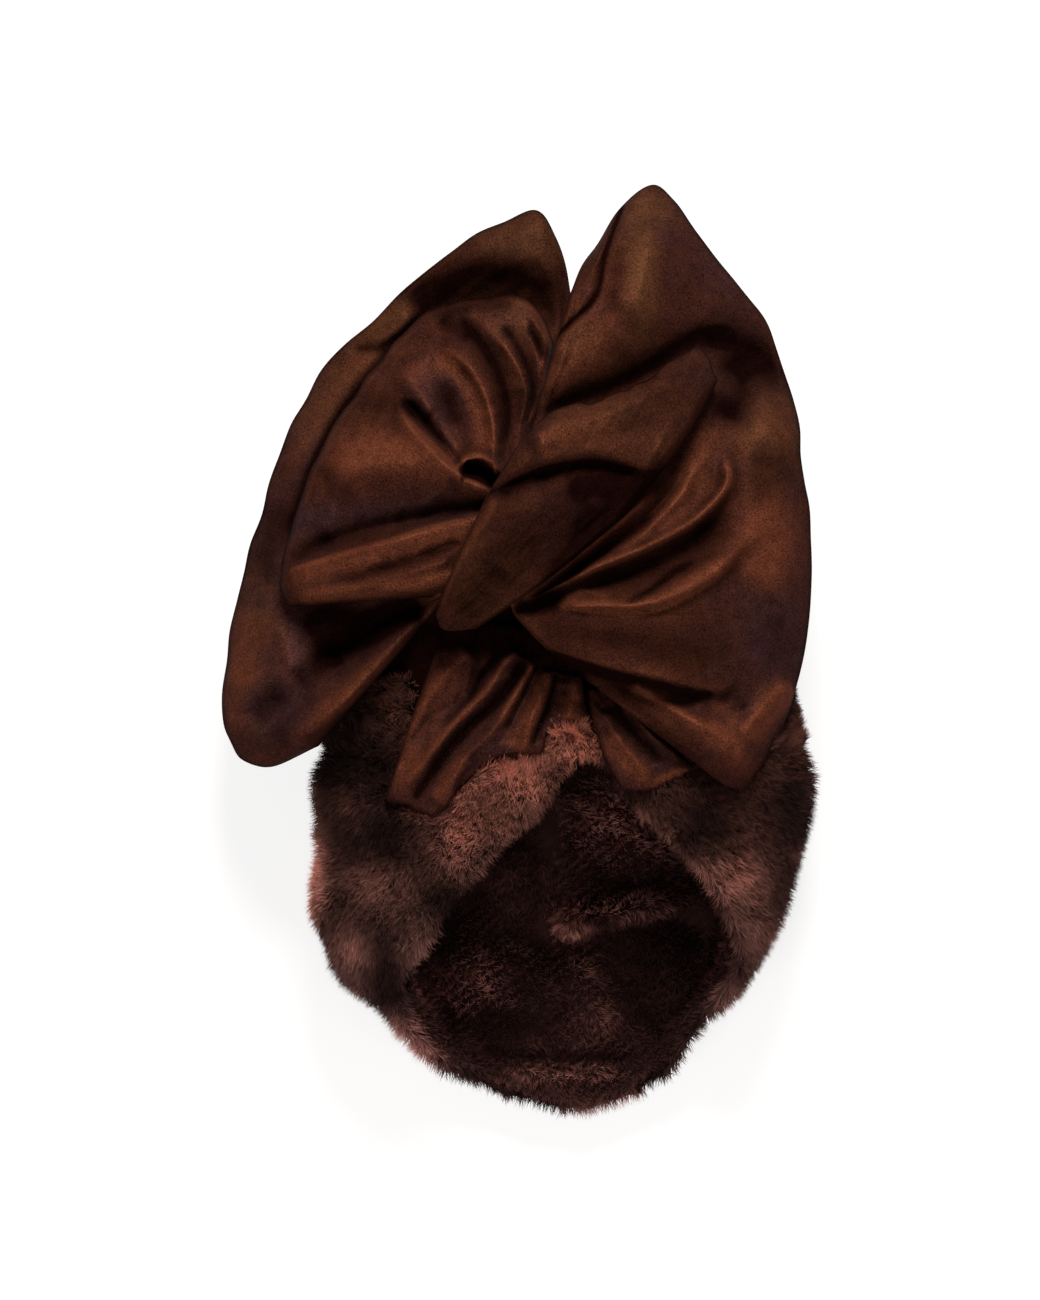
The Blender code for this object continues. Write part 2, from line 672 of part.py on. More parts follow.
def make_headwrap():
    clear_scene()
    collection = bpy.data.collections.new("turban_headwrap")
    bpy.context.scene.collection.children.link(collection)
    satin = ((0.085, 0.036, 0.022), 0.42)
    support = Support()
    make_fur_lining(collection)
    support.add(make_fur_band(collection))
    support.add(make_crown(collection))
    layers = (
        # name, (hub, middle, edge), folds, padding, sides, stations, lift of the edge
        ("front_gathers", (FRONT_GATHERS_HUB, None, FRONT_GATHERS_HEM), FRONT_GATHERS_FOLDS, 0.0, 24, 8, 0.0),
        ("side_gather", (SIDE_GATHER_HUB, SIDE_GATHER_MIDDLE, SIDE_GATHER_HEM), SIDE_GATHER_FOLDS, 0.0, 8, 8, 0.0),
        ("left_loop", (LEFT_LOOP_HUB, None, LEFT_LOOP_EDGE), LEFT_LOOP_FOLDS, LOOP_PAD, 30, 10, EDGE_LIFT),
        ("left_fold", (LEFT_FOLD_HUB, None, LEFT_FOLD_EDGE), LEFT_FOLD_FOLDS, FOLD_PAD, 26, 12, 0.0),
        ("right_loop", (RIGHT_LOOP_HUB, None, RIGHT_LOOP_EDGE), RIGHT_LOOP_FOLDS, LOOP_PAD, 32, 12, EDGE_LIFT),
        ("knot_band", (KNOT_BAND_TIP, KNOT_BAND_MIDDLE, KNOT_BAND_END), KNOT_BAND_FOLDS, BAND_PAD, 12, 20, 0.0),
    )
    for name, lines, folds, pad, sides, stations, lift in layers:
        make_layer(name, lines, folds, pad, support, collection, satin, sides, stations, lift)


make_headwrap()
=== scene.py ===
# %% [markdown]
# A satin turban headwrap lies on its back and is seen from straight above. It has three things to get right:
# the padded bow with its twisted knot, the satin that changes colour where it turns, and the plush fur round
# the head opening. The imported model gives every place, so the script starts by loading it.

# %% Load the frame
import math

import bmesh
import bpy
import numpy as np
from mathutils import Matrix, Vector
from mathutils.bvhtree import BVHTree


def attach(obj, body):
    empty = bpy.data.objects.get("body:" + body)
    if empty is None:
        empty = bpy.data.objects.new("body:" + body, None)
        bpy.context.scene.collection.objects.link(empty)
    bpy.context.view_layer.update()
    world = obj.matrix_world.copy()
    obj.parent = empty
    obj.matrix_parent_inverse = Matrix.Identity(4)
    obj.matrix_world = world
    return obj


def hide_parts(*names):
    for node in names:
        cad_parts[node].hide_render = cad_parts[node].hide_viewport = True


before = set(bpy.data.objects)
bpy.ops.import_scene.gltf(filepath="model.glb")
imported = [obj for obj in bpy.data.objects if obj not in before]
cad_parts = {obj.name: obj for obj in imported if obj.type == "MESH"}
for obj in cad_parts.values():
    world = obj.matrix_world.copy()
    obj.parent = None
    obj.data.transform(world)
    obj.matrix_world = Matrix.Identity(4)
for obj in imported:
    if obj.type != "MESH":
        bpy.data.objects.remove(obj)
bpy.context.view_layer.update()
print("solids:", ", ".join(sorted(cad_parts)))

# %% [markdown]
# The bow was laid out on a drawing of 1040 by 1300 squares of half a millimetre, seen from above. Every
# line of cloth below is given on that drawing, because a fold is easiest to place where it is seen.

# %% The drawing
SQUARE = 0.0005
DRAWING_ORIGIN = (518.5, 649.0)
DRAWING_SIZE = (1040, 1300)


def on_table(points):
    """Metres across and along the table for points of the drawing."""
    points = np.asarray(points, float)
    across = (points[..., 0] - DRAWING_ORIGIN[0]) * SQUARE
    along = (DRAWING_ORIGIN[1] - points[..., 1]) * SQUARE
    return np.stack([across, along], -1)


# %% [markdown]
# The camera hangs straight above the middle of the drawing. A long lens from high up keeps the drawing's
# proportions, as a low camera would make the knot, which is nearer to it, too large.

# %% Camera
CAMERA_HEIGHT = 7.0
SHARP_HEIGHT = 0.03
SENSOR = 36.0


def new_object(name, data):
    """An object of the scene."""
    made = bpy.data.objects.new(name, data)
    bpy.context.scene.collection.objects.link(made)
    return made


camera = new_object("camera", bpy.data.cameras.new("camera"))
middle = on_table((DRAWING_SIZE[0] / 2, DRAWING_SIZE[1] / 2))
camera.location = (middle[0], middle[1], CAMERA_HEIGHT)
camera.data.sensor_width = SENSOR
camera.data.lens = SENSOR * (CAMERA_HEIGHT - SHARP_HEIGHT) / (DRAWING_SIZE[1] * SQUARE)
bpy.context.scene.camera = camera
bpy.context.scene.view_settings.view_transform = "Standard"
print(f"lens {camera.data.lens:.0f} mm")

# %% [markdown]
# Satin lives from one soft light that grazes its folds. It comes from beyond the bow's tips, so each fold
# has a lit side towards them and a dark side towards the opening. Two weaker lights fill from the other side.
# The table glows a little, like a light table, which keeps the headwrap's own shadow on it pale.

# %% Floor and light
FLOOR_SIZE = 6.0
FLOOR_LOOK = {
    "Base Color": (0.30, 0.30, 0.30, 1), "Roughness": 0.9,
    "Emission Color": (1, 1, 1, 1), "Emission Strength": 0.78,
}
LIGHTS = (
    # name, place, watts, width, colour
    ("key", (0.10, 1.45, 1.10), 42.0, 0.6, (1.0, 0.95, 0.88)),
    ("fill", (-0.9, -1.3, 1.0), 17.0, 0.8, (1.0, 0.95, 0.93)),
    ("side", (1.2, -1.0, 0.9), 8.0, 0.8, (1.0, 0.95, 0.93)),
)
LIGHTS_AIM = Vector((0, 0, 0.05))
ROOM_COLOUR = (1.0, 0.98, 0.96, 1)
ROOM_GLOW = 0.16

mesh = bmesh.new()
bmesh.ops.create_grid(mesh, x_segments=1, y_segments=1, size=FLOOR_SIZE / 2)
floor = new_object("floor", bpy.data.meshes.new("floor"))
mesh.to_mesh(floor.data)
mesh.free()
pale = bpy.data.materials.new("pale_floor")
pale.use_nodes = True
for name, value in FLOOR_LOOK.items():
    pale.node_tree.nodes["Principled BSDF"].inputs[name].default_value = value
floor.data.materials.append(pale)

for name, place, power, width, colour in LIGHTS:
    light = new_object(name, bpy.data.lights.new(name, "AREA"))
    light.data.energy, light.data.size, light.data.color = power, width, colour
    light.location = place
    light.rotation_euler = (LIGHTS_AIM - light.location).to_track_quat("-Z", "Y").to_euler()

world = bpy.data.worlds.new("studio")
world.use_nodes = True
world.node_tree.nodes["Background"].inputs["Color"].default_value = ROOM_COLOUR
world.node_tree.nodes["Background"].inputs["Strength"].default_value = ROOM_GLOW
bpy.context.scene.world = world
print("lights:", ", ".join(row[0] for row in LIGHTS))

# %% [markdown]
# A finish is easier to read as arithmetic than as a list of nodes. This small class wraps a shader socket,
# so that an expression adds its Math nodes, and its maker adds any other node by type.

# %% Shader arithmetic


class Value:
    """A shader socket that takes part in Python expressions."""

    def __init__(self, tree, socket):
        self.tree, self.socket = tree, socket

    def into(self, target):
        self.tree.links.new(self.socket, target)

    def math(self, operation, first, second):
        node = self.tree.nodes.new("ShaderNodeMath")
        node.operation = operation
        for target, item in zip(node.inputs, (first, second)):
            set_socket(target, item)
        return Value(self.tree, node.outputs[0])

    def __add__(self, other):
        return self.math("ADD", self, other)

    def __radd__(self, other):
        return self.math("ADD", other, self)

    def __sub__(self, other):
        return self.math("SUBTRACT", self, other)

    def __rsub__(self, other):
        return self.math("SUBTRACT", other, self)

    def __mul__(self, other):
        return self.math("MULTIPLY", self, other)


def set_socket(target, item):
    """Links a value to a socket, or sets a plain number, colour or vector on it."""
    if isinstance(item, Value):
        item.into(target)
    else:
        target.default_value = item


class Finish:
    """A material that is built node by node."""

    def __init__(self, name):
        self.material = bpy.data.materials.new(name)
        self.material.use_nodes = True
        self.tree = self.material.node_tree
        self.shader = self.tree.nodes["Principled BSDF"]

    def node(self, kind, settings, sockets, output):
        """A node of any type: its settings first, then its sockets. Gives one output."""
        made = self.tree.nodes.new(kind)
        for name, value in settings.items():
            setattr(made, name, value)
        for name, value in sockets.items():
            set_socket(made.inputs[name], value)
        return Value(self.tree, made.outputs[output])

    def mix(self, share, first, second):
        """A colour between two others."""
        sockets = {0: share, 6: first, 7: second}
        return self.node("ShaderNodeMix", {"data_type": "RGBA"}, sockets, 2)

    def attribute(self, name):
        return self.node("ShaderNodeAttribute", {"attribute_name": name}, {}, "Fac")

    def noise(self, vector, scale, detail):
        sockets = {"Vector": vector, "Scale": scale, "Detail": detail}
        return self.node("ShaderNodeTexNoise", {}, sockets, "Fac")

    def set(self, **values):
        """Sets sockets of the shader, with _ for a space in their names."""
        for name, value in values.items():
            set_socket(self.shader.inputs[name.replace("_", " ")], value)


# %% [markdown]
# The satin's warp and weft have different colours, copper and plum. Its light and shade are painted on
# as well, as a picture of cloth would not follow these folds: four shares are painted on each piece as
# attributes. The lit share is painted light, bright copper on a fold, and the dark share is painted shade,
# nearly black in a hollow. The plum and gold shares are colours of the cloth, but they are painted where it
# lies in shade and where it catches the light, so they are partly painted shade and painted sheen. Noise
# adds the threads and a fine crumple, and flecks that break up the colour as a weave does.

# %% Satin finish
COPPER = (0.035, 0.0106, 0.0062, 1)
# Painted light, then painted shade, then plum and gold, which are painted where the cloth lies in shade and
# where it catches the light.
LIT = (0.096, 0.0280, 0.0148, 1)
SHADE_COLOUR = (0.0058, 0.0016, 0.0012, 1)
PLUM = (0.034, 0.0138, 0.0142, 1)
GOLD = (0.072, 0.0285, 0.0135, 1)
STREAKS, CLOUDS, MOTTLE, CRUMPLE, GRAIN = 90.0, 22.0, 60.0, 150.0, 1100.0  # how fine each noise is
BUMP_STRENGTH = 0.60
BUMP_DEPTH = 0.0013


def satin_finish(name):
    finish = Finish(name)
    place = finish.node("ShaderNodeTexCoord", {}, {}, "Object")
    threads = finish.node("ShaderNodeUVMap", {"uv_map": "threads"}, {}, "UV")
    streaks = finish.noise(threads, STREAKS, 3.0)
    clouds = finish.noise(place, CLOUDS, 3.0)
    mottle = finish.noise(place, MOTTLE, 4.0)
    crumple = finish.noise(place, CRUMPLE, 4.0)
    grain = finish.noise(place, GRAIN, 2.0)
    uneven = (clouds - 0.5) * 0.7 + (grain - 0.5) * 0.5
    # Plum as painted shade, then painted light, gold as painted sheen, and painted shade on top.
    shot_and_shade = finish.mix(finish.attribute("plum_and_shade") + uneven * 0.5 + (mottle - 0.45) * 1.1, COPPER, PLUM)
    lit_up = finish.mix(finish.attribute("lit") + uneven * 0.3, shot_and_shade, LIT)
    warm = finish.mix(finish.attribute("gold_and_sheen") + (0.5 - mottle) * 0.6, lit_up, GOLD)
    deep = finish.mix(finish.attribute("dark") + (streaks - 0.5) * 0.3, warm, SHADE_COLOUR)
    flecks = 1 + (grain - 0.5) * 2.4 + (crumple - 0.5) * 0.9
    blend = {"data_type": "RGBA", "blend_type": "MULTIPLY"}
    woven = finish.node("ShaderNodeMix", blend, {0: 1.0, 6: deep, 7: flecks}, 2)
    relief = crumple * 0.7 + streaks * 0.4 + grain * 0.25
    bump_sockets = {"Strength": BUMP_STRENGTH, "Distance": BUMP_DEPTH, "Height": relief}
    bump = finish.node("ShaderNodeBump", {}, bump_sockets, "Normal")
    dark = finish.attribute("dark")
    finish.set(Base_Color=woven, Roughness=0.50 + clouds * 0.14 + dark * 0.2, Metallic=0.38 - dark * 0.3)
    finish.set(Normal=bump, Specular_IOR_Level=0.01, Specular_Tint=(0.30, 0.15, 0.10, 1))
    return finish.material


satin = satin_finish("satin")

# %% [markdown]
# Cloth lines are drawn through a few points and read back as smooth curves. A fold is a line with a height
# and a reach to each side: equal reaches make a round ridge, a short one makes a crisp edge, and a negative
# height a valley. The same kind of line, with a strength for its height, paints light or shade on the cloth.

# %% Lines and folds
LINE_POINTS = 28
MILLIMETRE = 0.001


def smooth_line(rows, at):
    """Points at given stations of a smooth curve through rows of station, x and y."""
    rows = np.asarray(rows, float)
    stations, points = rows[:, 0], rows[:, 1:]
    slopes = np.gradient(points, stations, axis=0)
    low = np.clip(np.searchsorted(stations, at) - 1, 0, len(stations) - 2)
    span = (stations[low + 1] - stations[low])[:, None]
    share = (np.asarray(at)[:, None] - stations[low][:, None]) / span
    rise = share**2 * (3 - 2 * share)
    leaving = slopes[low] * span * share * (1 - share) ** 2
    arriving = slopes[low + 1] * span * share**2 * (1 - share)
    return points[low] * (1 - rise) + points[low + 1] * rise + leaving - arriving


def drawn_line(points):
    """A smooth line on the table through points of the drawing, given as x, y, x, y and so on."""
    points = on_table(np.reshape(points, (-1, 2)))
    steps = np.hypot(*np.diff(points, axis=0).T)
    stations = np.concatenate([[0], np.cumsum(steps)]) / steps.sum()
    return smooth_line(np.column_stack([stations, points]), np.linspace(0, 1, LINE_POINTS))


def along_line(spots, line):
    """How far each spot is from a line, on which side, and where along it."""
    start, step = line[:-1], np.diff(line, axis=0)
    away = spots[:, None] - start
    share = np.clip((away * step).sum(-1) / (step**2).sum(-1), 0, 1)
    away = away - share[..., None] * step
    distance = np.hypot(away[..., 0], away[..., 1])
    nearest = distance.argmin(1)
    rows = np.arange(len(spots))
    near, ahead = away[rows, nearest], step[nearest]
    side = ahead[:, 0] * near[:, 1] - ahead[:, 1] * near[:, 0]
    return distance[rows, nearest], side, (nearest + share[rows, nearest]) / len(step)


def faded(share, length):
    """Rises smoothly from 0 to 1 over a length; 1 throughout if the length is 0."""
    risen = np.clip(share / length, 0, 1) if length > 0 else np.ones_like(share)
    return risen**2 * (3 - 2 * risen)


def drawn_sum(spots, rows, shape=2.0):
    """The sum, at each spot, of lines that fall off to both sides and fade at both ends."""
    total = np.zeros(len(spots))
    for amount, left, right, fade_in, fade_out, points in rows:
        distance, side, share = along_line(spots, drawn_line(points))
        reach = np.where(side > 0, left, right) * MILLIMETRE
        ends = faded(share, fade_in) * faded(1 - share, fade_out)
        total += amount * ends * np.exp(-((distance / reach) ** shape))
    return total


def patches(spots, spots_of_colour):
    """How strongly soft round patches of colour cover each spot."""
    total = np.zeros(len(spots))
    for x, y, across, along, strength in spots_of_colour:
        away = (spots[:, :2] - on_table((x, y))) / (SQUARE * np.array([across, along]))
        total += strength * np.exp(-(away**2).sum(-1))
    return total


def ripples(shape, knots, seed):
    """Smooth random waves, -1 to 1, with so many knots across and along a grid."""
    values = np.random.default_rng(seed).uniform(-1, 1, (knots[0] + 1, knots[1] + 1))
    for side in (0, 1):  # across, and then along
        stations = np.linspace(0, 1, knots[side] + 1)
        values = smooth_line(np.column_stack([stations, values]), np.linspace(0, 1, shape[side])).T
    return values


# %% [markdown]
# Each layer of the bow is a leaf: it starts narrow under the knot, at its hub, and fans out to its edge.
# A flat grid is extruded once into a closed skin, and its points are then moved: the underside goes where
# the solid lies, and the upper side stands off by its filling, its folds and the fine pleats of gathering.
# Near a side the filling ends in a round roll, whose radius says how sharp that side looks. The shade that a
# rim and an underside have against a pale table is painted on, as the folds' own shade is.

# %% Leaf maker
SATIN_WALL = 1.2
ROLL_SHARPNESS = 0.7  # 0.5 is a round edge, 1 a flat one
CREASE = 0.9
FOLD_SHAPE = 1.5  # 2 makes round folds, 1 sharp ones
RIM_SHADE = 0.9
RIM_REACH = 1.3
UNDERSIDE_SHADE = 1.0
HUB_OPEN = 0.4  # of the hub's roll, which is squashed under the knot and not closed
GATHER_FADE = 0.75  # of the fine pleats, from hub to edge
PUCKERS = ((12, 9), (7, 14))  # knots across and along
SHADING_ROUNDS = 60
# The folds' painted light and shade is measured against the folds evened out over so many rounds.
THREADS_WIDTH = 0.12
EDGE_WOBBLE = 0.0009
# Painted light on a fold's crest and painted shade in its hollow.
FOLD_SHADING = 0.10  # for each millimetre that a fold stands out


def mesh_arrays(data):
    """The places and normals of a mesh's points."""
    places, normals = np.empty(3 * len(data.vertices)), np.empty(3 * len(data.vertices))
    data.vertices.foreach_get("co", places)
    data.vertices.foreach_get("normal", normals)
    return places.reshape(-1, 3), normals.reshape(-1, 3)


def node_heights(name, spots):
    """Heights of a solid's underside at spots on the table."""
    solid = bpy.data.objects[name]
    tree = BVHTree.FromObject(solid, bpy.context.evaluated_depsgraph_get())
    heights = np.empty(len(spots))
    for k, (x, y) in enumerate(spots):
        hit = tree.ray_cast(Vector((x, y, -1.0)), Vector((0, 0, 1)))[0]
        if hit is None:
            hit = tree.find_nearest(Vector((x, y, 0.02)))[0]
        heights[k] = hit.z
    return heights


def settle(heights, rounds):
    """Evens out a grid of heights."""
    for _ in range(rounds):
        wide = np.pad(heights, 1, mode="edge")
        heights = (wide[:-2, 1:-1] + wide[2:, 1:-1] + wide[1:-1, :-2] + wide[1:-1, 2:]) / 4
    return heights


def roll(distance, radius):
    """The rounding of a filled edge, 0 at the edge and 1 from its radius inwards."""
    return (1 - (1 - np.clip(distance / radius, 0, 1)) ** 2) ** ROLL_SHARPNESS


def add_attribute(data, name, values):
    layer = data.attributes.new(name, "FLOAT", "POINT")
    layer.data.foreach_set("value", np.clip(values, 0, 1))


def add_threads(data, across, along):
    """Says for each point where it is on the cloth, across and along its threads."""
    corner = np.empty(len(data.loops), int)
    data.loops.foreach_get("vertex_index", corner)
    layer = data.uv_layers.new(name="threads")
    layer.data.foreach_set("uv", np.column_stack([across, along])[corner].ravel())


def leaf(
    node, hub, edge, through=None, folds=(), painted_shading=(), pad=15.0, rolls=(12, 12, 30, 8),
    grid=(160, 110), pleats=(30, 3, 1.0, 2.0), calm=30, plum_and_shade=(), gold_and_sheen=(), seed=1,
):
    """A filled piece of satin that fans out from its hub to its edge, in place of a solid."""
    name = f"{node}_satin"
    sides, stations = grid
    u, v = np.linspace(0, 1, sides + 1), np.linspace(0, 1, stations + 1)
    start, end = on_table(smooth_line(hub, u)), on_table(smooth_line(edge, u))
    end = end + EDGE_WOBBLE * ripples((sides + 1, 2), (28, 2), seed + 4)
    middle = (start + end) / 2 if through is None else on_table(smooth_line(through, u))
    w = v[None, :, None]
    places = start[:, None] * (1 - w) * (1 - 2 * w) + middle[:, None] * 4 * w * (1 - w)
    places = places + end[:, None] * w * (2 * w - 1)
    spots = places.reshape(-1, 2)
    base = settle(node_heights(node, spots).reshape(sides + 1, stations + 1), calm)

    def from_side(line):
        return np.hypot(*np.moveaxis(places - line, -1, 0)) / MILLIMETRE

    first, last, far = from_side(places[:1]), from_side(places[-1:]), from_side(places[:, -1:])
    filled = roll(first, rolls[0]) * roll(last, rolls[1]) * roll(far, rolls[2])
    filled *= roll(from_side(places[:, :1]) + HUB_OPEN * rolls[3], rolls[3])
    knots_across, knots_along, fine, coarse = pleats
    gathered = ripples(filled.shape, (knots_across, knots_along), seed) * (1 - GATHER_FADE * w[..., 0])
    wide = ripples(filled.shape, (max(knots_across // 4, 3), knots_along + 2), seed + 1)
    creased = sum(np.abs(ripples(filled.shape, PUCKERS[k], seed + 2 + k)) for k in (0, 1))
    folded = drawn_sum(spots, folds, FOLD_SHAPE).reshape(filled.shape)
    relief = coarse * wide + fine * gathered - CREASE * creased * filled + folded * np.clip(3 * filled, 0, 1)
    body = settle(np.maximum(filled * pad + relief * np.clip(2 * filled, 0, 1), 0), 1)
    top = base + MILLIMETRE * (SATIN_WALL + body)

    data, i, j, upper = grid_skin(name, sides, stations)
    heights = np.where(upper, top[i, j], base[i, j])
    data.vertices.foreach_set("co", np.column_stack([places[i, j], heights]).ravel())
    add_threads(data, i / sides, THREADS_WIDTH * j / stations)
    # Painted light and shade: the drawn lines, lighter crests and darker hollows of the folds, and shade on
    # the rims.
    light_and_shade = drawn_sum(spots, painted_shading).reshape(filled.shape) + FOLD_SHADING * (relief - settle(relief, SHADING_ROUNDS))
    light_and_shade -= RIM_SHADE * np.exp(-((np.minimum(np.minimum(first, last), far) / RIM_REACH) ** 2))
    # The lit share is painted light on the upper side; the dark share is painted shade, over all of the
    # underside.
    add_attribute(data, "lit", light_and_shade[i, j] * upper)
    add_attribute(data, "dark", np.where(upper, -light_and_shade[i, j], UNDERSIDE_SHADE))
    # Plum is painted where the cloth lies in shade and gold where it catches the light: painted shade and
    # painted sheen in colours of the cloth.
    add_attribute(data, "plum_and_shade", patches(places[i, j], plum_and_shade))
    add_attribute(data, "gold_and_sheen", patches(places[i, j], gold_and_sheen))
    data.update()
    finish_leaf(name, data, node)


def grid_skin(name, sides, stations):
    """A flat grid, extruded into a closed skin, with the grid place and the side of each point."""
    mesh = bmesh.new()
    bmesh.ops.create_grid(mesh, x_segments=sides, y_segments=stations, size=0.5)
    raised = bmesh.ops.extrude_face_region(mesh, geom=mesh.faces[:])["geom"]
    upper = [item for item in raised if isinstance(item, bmesh.types.BMVert)]
    bmesh.ops.translate(mesh, vec=(0, 0, 1), verts=upper)
    data = bpy.data.meshes.new(name)
    mesh.to_mesh(data)
    mesh.free()
    flat = mesh_arrays(data)[0]
    i = np.rint((flat[:, 0] + 0.5) * sides).astype(int)
    j = np.rint((flat[:, 1] + 0.5) * stations).astype(int)
    return data, i, j, flat[:, 2] > 0.5


def finish_leaf(name, data, node):
    """Makes the object of a leaf, its faces pointing outwards, in place of its solid."""
    test = bmesh.new()
    test.from_mesh(data)
    if test.calc_volume(signed=True) < 0:
        data.flip_normals()
    test.free()
    data.shade_smooth()
    piece = new_object(name, data)
    data.materials.append(satin)
    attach(piece, "root")
    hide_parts(node)
    size = np.ptp(mesh_arrays(data)[0], axis=0) / MILLIMETRE
    print(f"{name}: {size.round()} mm, {len(data.polygons)} faces")


# %% [markdown]
# The gathers come from under the knot and spread over the front of the fur. Their pleats are close and
# steep at the top, where they are sewn together, and open towards the hem.

# %% Front gathers
# Folds and painted light and shade: height in millimetres, or strength of painted light (shade if negative),
# reach left and right, fade in and out, and x, y, x, y.
GATHERS_HUB = ((0.0, 443, 625), (0.5, 509, 624), (1.0, 575, 645))
GATHERS_HEM = (
    (0.00, 385, 798), (0.12, 411, 806), (0.25, 441, 812), (0.33, 458, 790), (0.46, 498, 758),
    (0.60, 540, 756), (0.70, 546, 734), (0.85, 570, 727), (1.00, 592, 722),
)
GATHERS_FOLDS = (
    (5, 6, 4, 0.05, 0.1, (473, 648, 448, 671, 431, 693, 413, 724, 398, 751, 388, 790)),
    (-3, 3, 3, 0.1, 0.3, (489, 660, 462, 700, 428, 722, 408, 752)),
    (6, 4, 3, 0.05, 0.1, (521, 648, 506, 661, 489, 688, 468, 709, 431, 752, 403, 786)),
    (-6, 2.5, 3, 0.05, 0.3, (527, 660, 511, 686, 496, 704, 476, 721, 453, 746, 413, 800)),
    (5, 3, 3, 0.05, 0.2, (534, 658, 522, 681, 509, 704, 496, 726, 470, 752, 440, 795)),
    (-4, 2, 2, 0.1, 0.3, (541, 662, 528, 690, 516, 715, 500, 745)),
    (6, 4, 3, 0.05, 0.1, (549, 668, 542, 693, 532, 716, 522, 751)),
    (-4, 2, 2, 0.05, 0.2, (556, 672, 551, 693, 546, 712, 537, 731, 531, 748)),
    (4, 4, 4, 0.1, 0.1, (576, 672, 572, 695, 566, 722)),
)
# Painted light where a fold catches the light, painted shade where it turns away or lies under another.
GATHERS_SHADING = (
    (-1.7, 9, 10, 0.0, 0.1, (425, 632, 470, 634, 530, 644, 590, 668)),
    (1.0, 2, 4, 0.1, 0.1, (473, 648, 448, 671, 431, 693, 413, 724, 398, 751)),
    (0.5, 8, 8, 0.1, 0.1, (470, 665, 440, 715, 405, 780)),
    (-0.9, 2, 2, 0.1, 0.2, (505, 648, 481, 676, 471, 696, 453, 716, 440, 730)),
    (0.9, 1.2, 2, 0.1, 0.1, (521, 648, 506, 661, 489, 688, 468, 709, 431, 752, 403, 786)),
    (-1.3, 2.2, 2.5, 0.05, 0.05, (527, 660, 511, 686, 496, 704, 476, 721, 453, 746, 413, 800)),
    (0.8, 2, 2, 0.1, 0.3, (534, 660, 522, 681, 509, 704, 496, 726)),
    (1.2, 5, 6, 0.1, 0.1, (547, 672, 540, 695, 530, 716, 515, 752)),
    (-1.0, 1.3, 1.5, 0.1, 0.1, (556, 672, 551, 693, 546, 712, 537, 731, 531, 748)),
    (0.8, 5, 4, 0.2, 0.1, (573, 680, 570, 700, 566, 720)),
    (0.9, 4, 4, 0.2, 0.1, (470, 752, 452, 775, 436, 800)),
    (-0.6, 2, 2, 0.2, 0.2, (480, 748, 462, 775, 455, 795)),
    (0.6, 6, 5, 0.2, 0.2, (422, 742, 402, 772, 395, 798)),
)
leaf(
    "front_gathers", GATHERS_HUB, GATHERS_HEM, folds=GATHERS_FOLDS,
    painted_shading=GATHERS_SHADING, pad=4.0, rolls=(6, 6, 4, 4), grid=(160, 70), pleats=(30, 3, 0.7, 0.8), seed=11,
    plum_and_shade=((440, 740, 60, 80, 0.5), (530, 710, 50, 50, 0.5)),
)

# %% [markdown]
# Right of the opening's peak a smaller panel of the same satin comes down over the end of the fur.

# %% Side gather
SIDE_HUB = ((0.0, 586, 690), (1.0, 618, 684))
SIDE_THROUGH = ((0.0, 597, 742), (1.0, 655, 728))
SIDE_HEM = ((0.0, 622, 787), (0.35, 641, 791), (0.7, 668, 780), (1.0, 694, 767))
SIDE_FOLDS = (
    (5, 4, 3, 0.1, 0.2, (600, 710, 622, 745, 652, 782)),
    (-4, 3, 3, 0.1, 0.3, (606, 700, 634, 738, 664, 765)),
    (4, 3, 3, 0.1, 0.2, (620, 700, 652, 735, 684, 762)),
)
# Painted light where a fold catches the light, painted shade where it turns away or lies under another.
SIDE_SHADING = (
    (-0.35, 8, 5, 0.0, 0.2, (590, 690, 612, 715, 645, 738, 690, 768)),
    (1.3, 4, 5, 0.3, 0.1, (602, 728, 620, 752, 648, 780)),
    (1.2, 3, 2, 0.2, 0.2, (640, 786, 668, 776, 690, 765)),
)
leaf(
    "side_gather", SIDE_HUB, SIDE_HEM, SIDE_THROUGH, SIDE_FOLDS, SIDE_SHADING,
    pad=4.0, rolls=(5, 5, 5, 4), grid=(60, 60), pleats=(12, 3, 0.6, 0.8), seed=21,
    plum_and_shade=((645, 750, 50, 50, 0.6),),
)

# %% [markdown]
# The left loop is two leaves, because its folds lie one over the other. The back one is the padded outer
# strip, sewn along its edge, which ends below in a thick roll.

# %% Left loop
LEFT_LOOP_HUB = ((0.0, 530, 462), (0.5, 478, 530), (1.0, 442, 606))
LEFT_LOOP_EDGE = (
    (0.00, 573, 303), (0.06, 557, 239), (0.11, 533, 207), (0.15, 500, 220), (0.22, 448, 253),
    (0.31, 379, 311), (0.40, 318, 374), (0.49, 283, 447), (0.58, 258, 521), (0.67, 237, 594),
    (0.76, 225, 668), (0.84, 226, 733), (0.90, 246, 760), (0.95, 274, 767), (1.00, 318, 745),
)
LEFT_LOOP_FOLDS = (
    (-15, 14, 16, 0.2, 0.2, (580, 325, 540, 312, 500, 304, 455, 306, 410, 330)),
    (-4, 2.5, 3, 0.2, 0.3, (345, 348, 385, 346, 430, 310)),
    (-8, 7, 7, 0.1, 0.2, (440, 315, 390, 370, 345, 430, 312, 500, 296, 580)),
    (9, 7, 9, 0.0, 0.1, (445, 600, 400, 640, 350, 695, 285, 745)),
    (-19, 12, 7, 0.0, 0.3, (420, 605, 380, 620, 345, 650, 300, 665)),
    (5, 5, 10, 0.3, 0.3, (285, 590, 280, 640, 290, 668, 250, 688, 236, 715)),
    (-6, 8, 8, 0.3, 0.3, (295, 690, 268, 705, 250, 728)),
    (2.5, 2.5, 2.5, 0.3, 0.3, (300, 700, 275, 722, 256, 742)),
    (2.5, 2.0, 2.0, 0.3, 0.3, (310, 705, 286, 730, 268, 752)),
    (-4, 6, 6, 0.3, 0.3, (290, 500, 272, 560, 262, 600)),
)
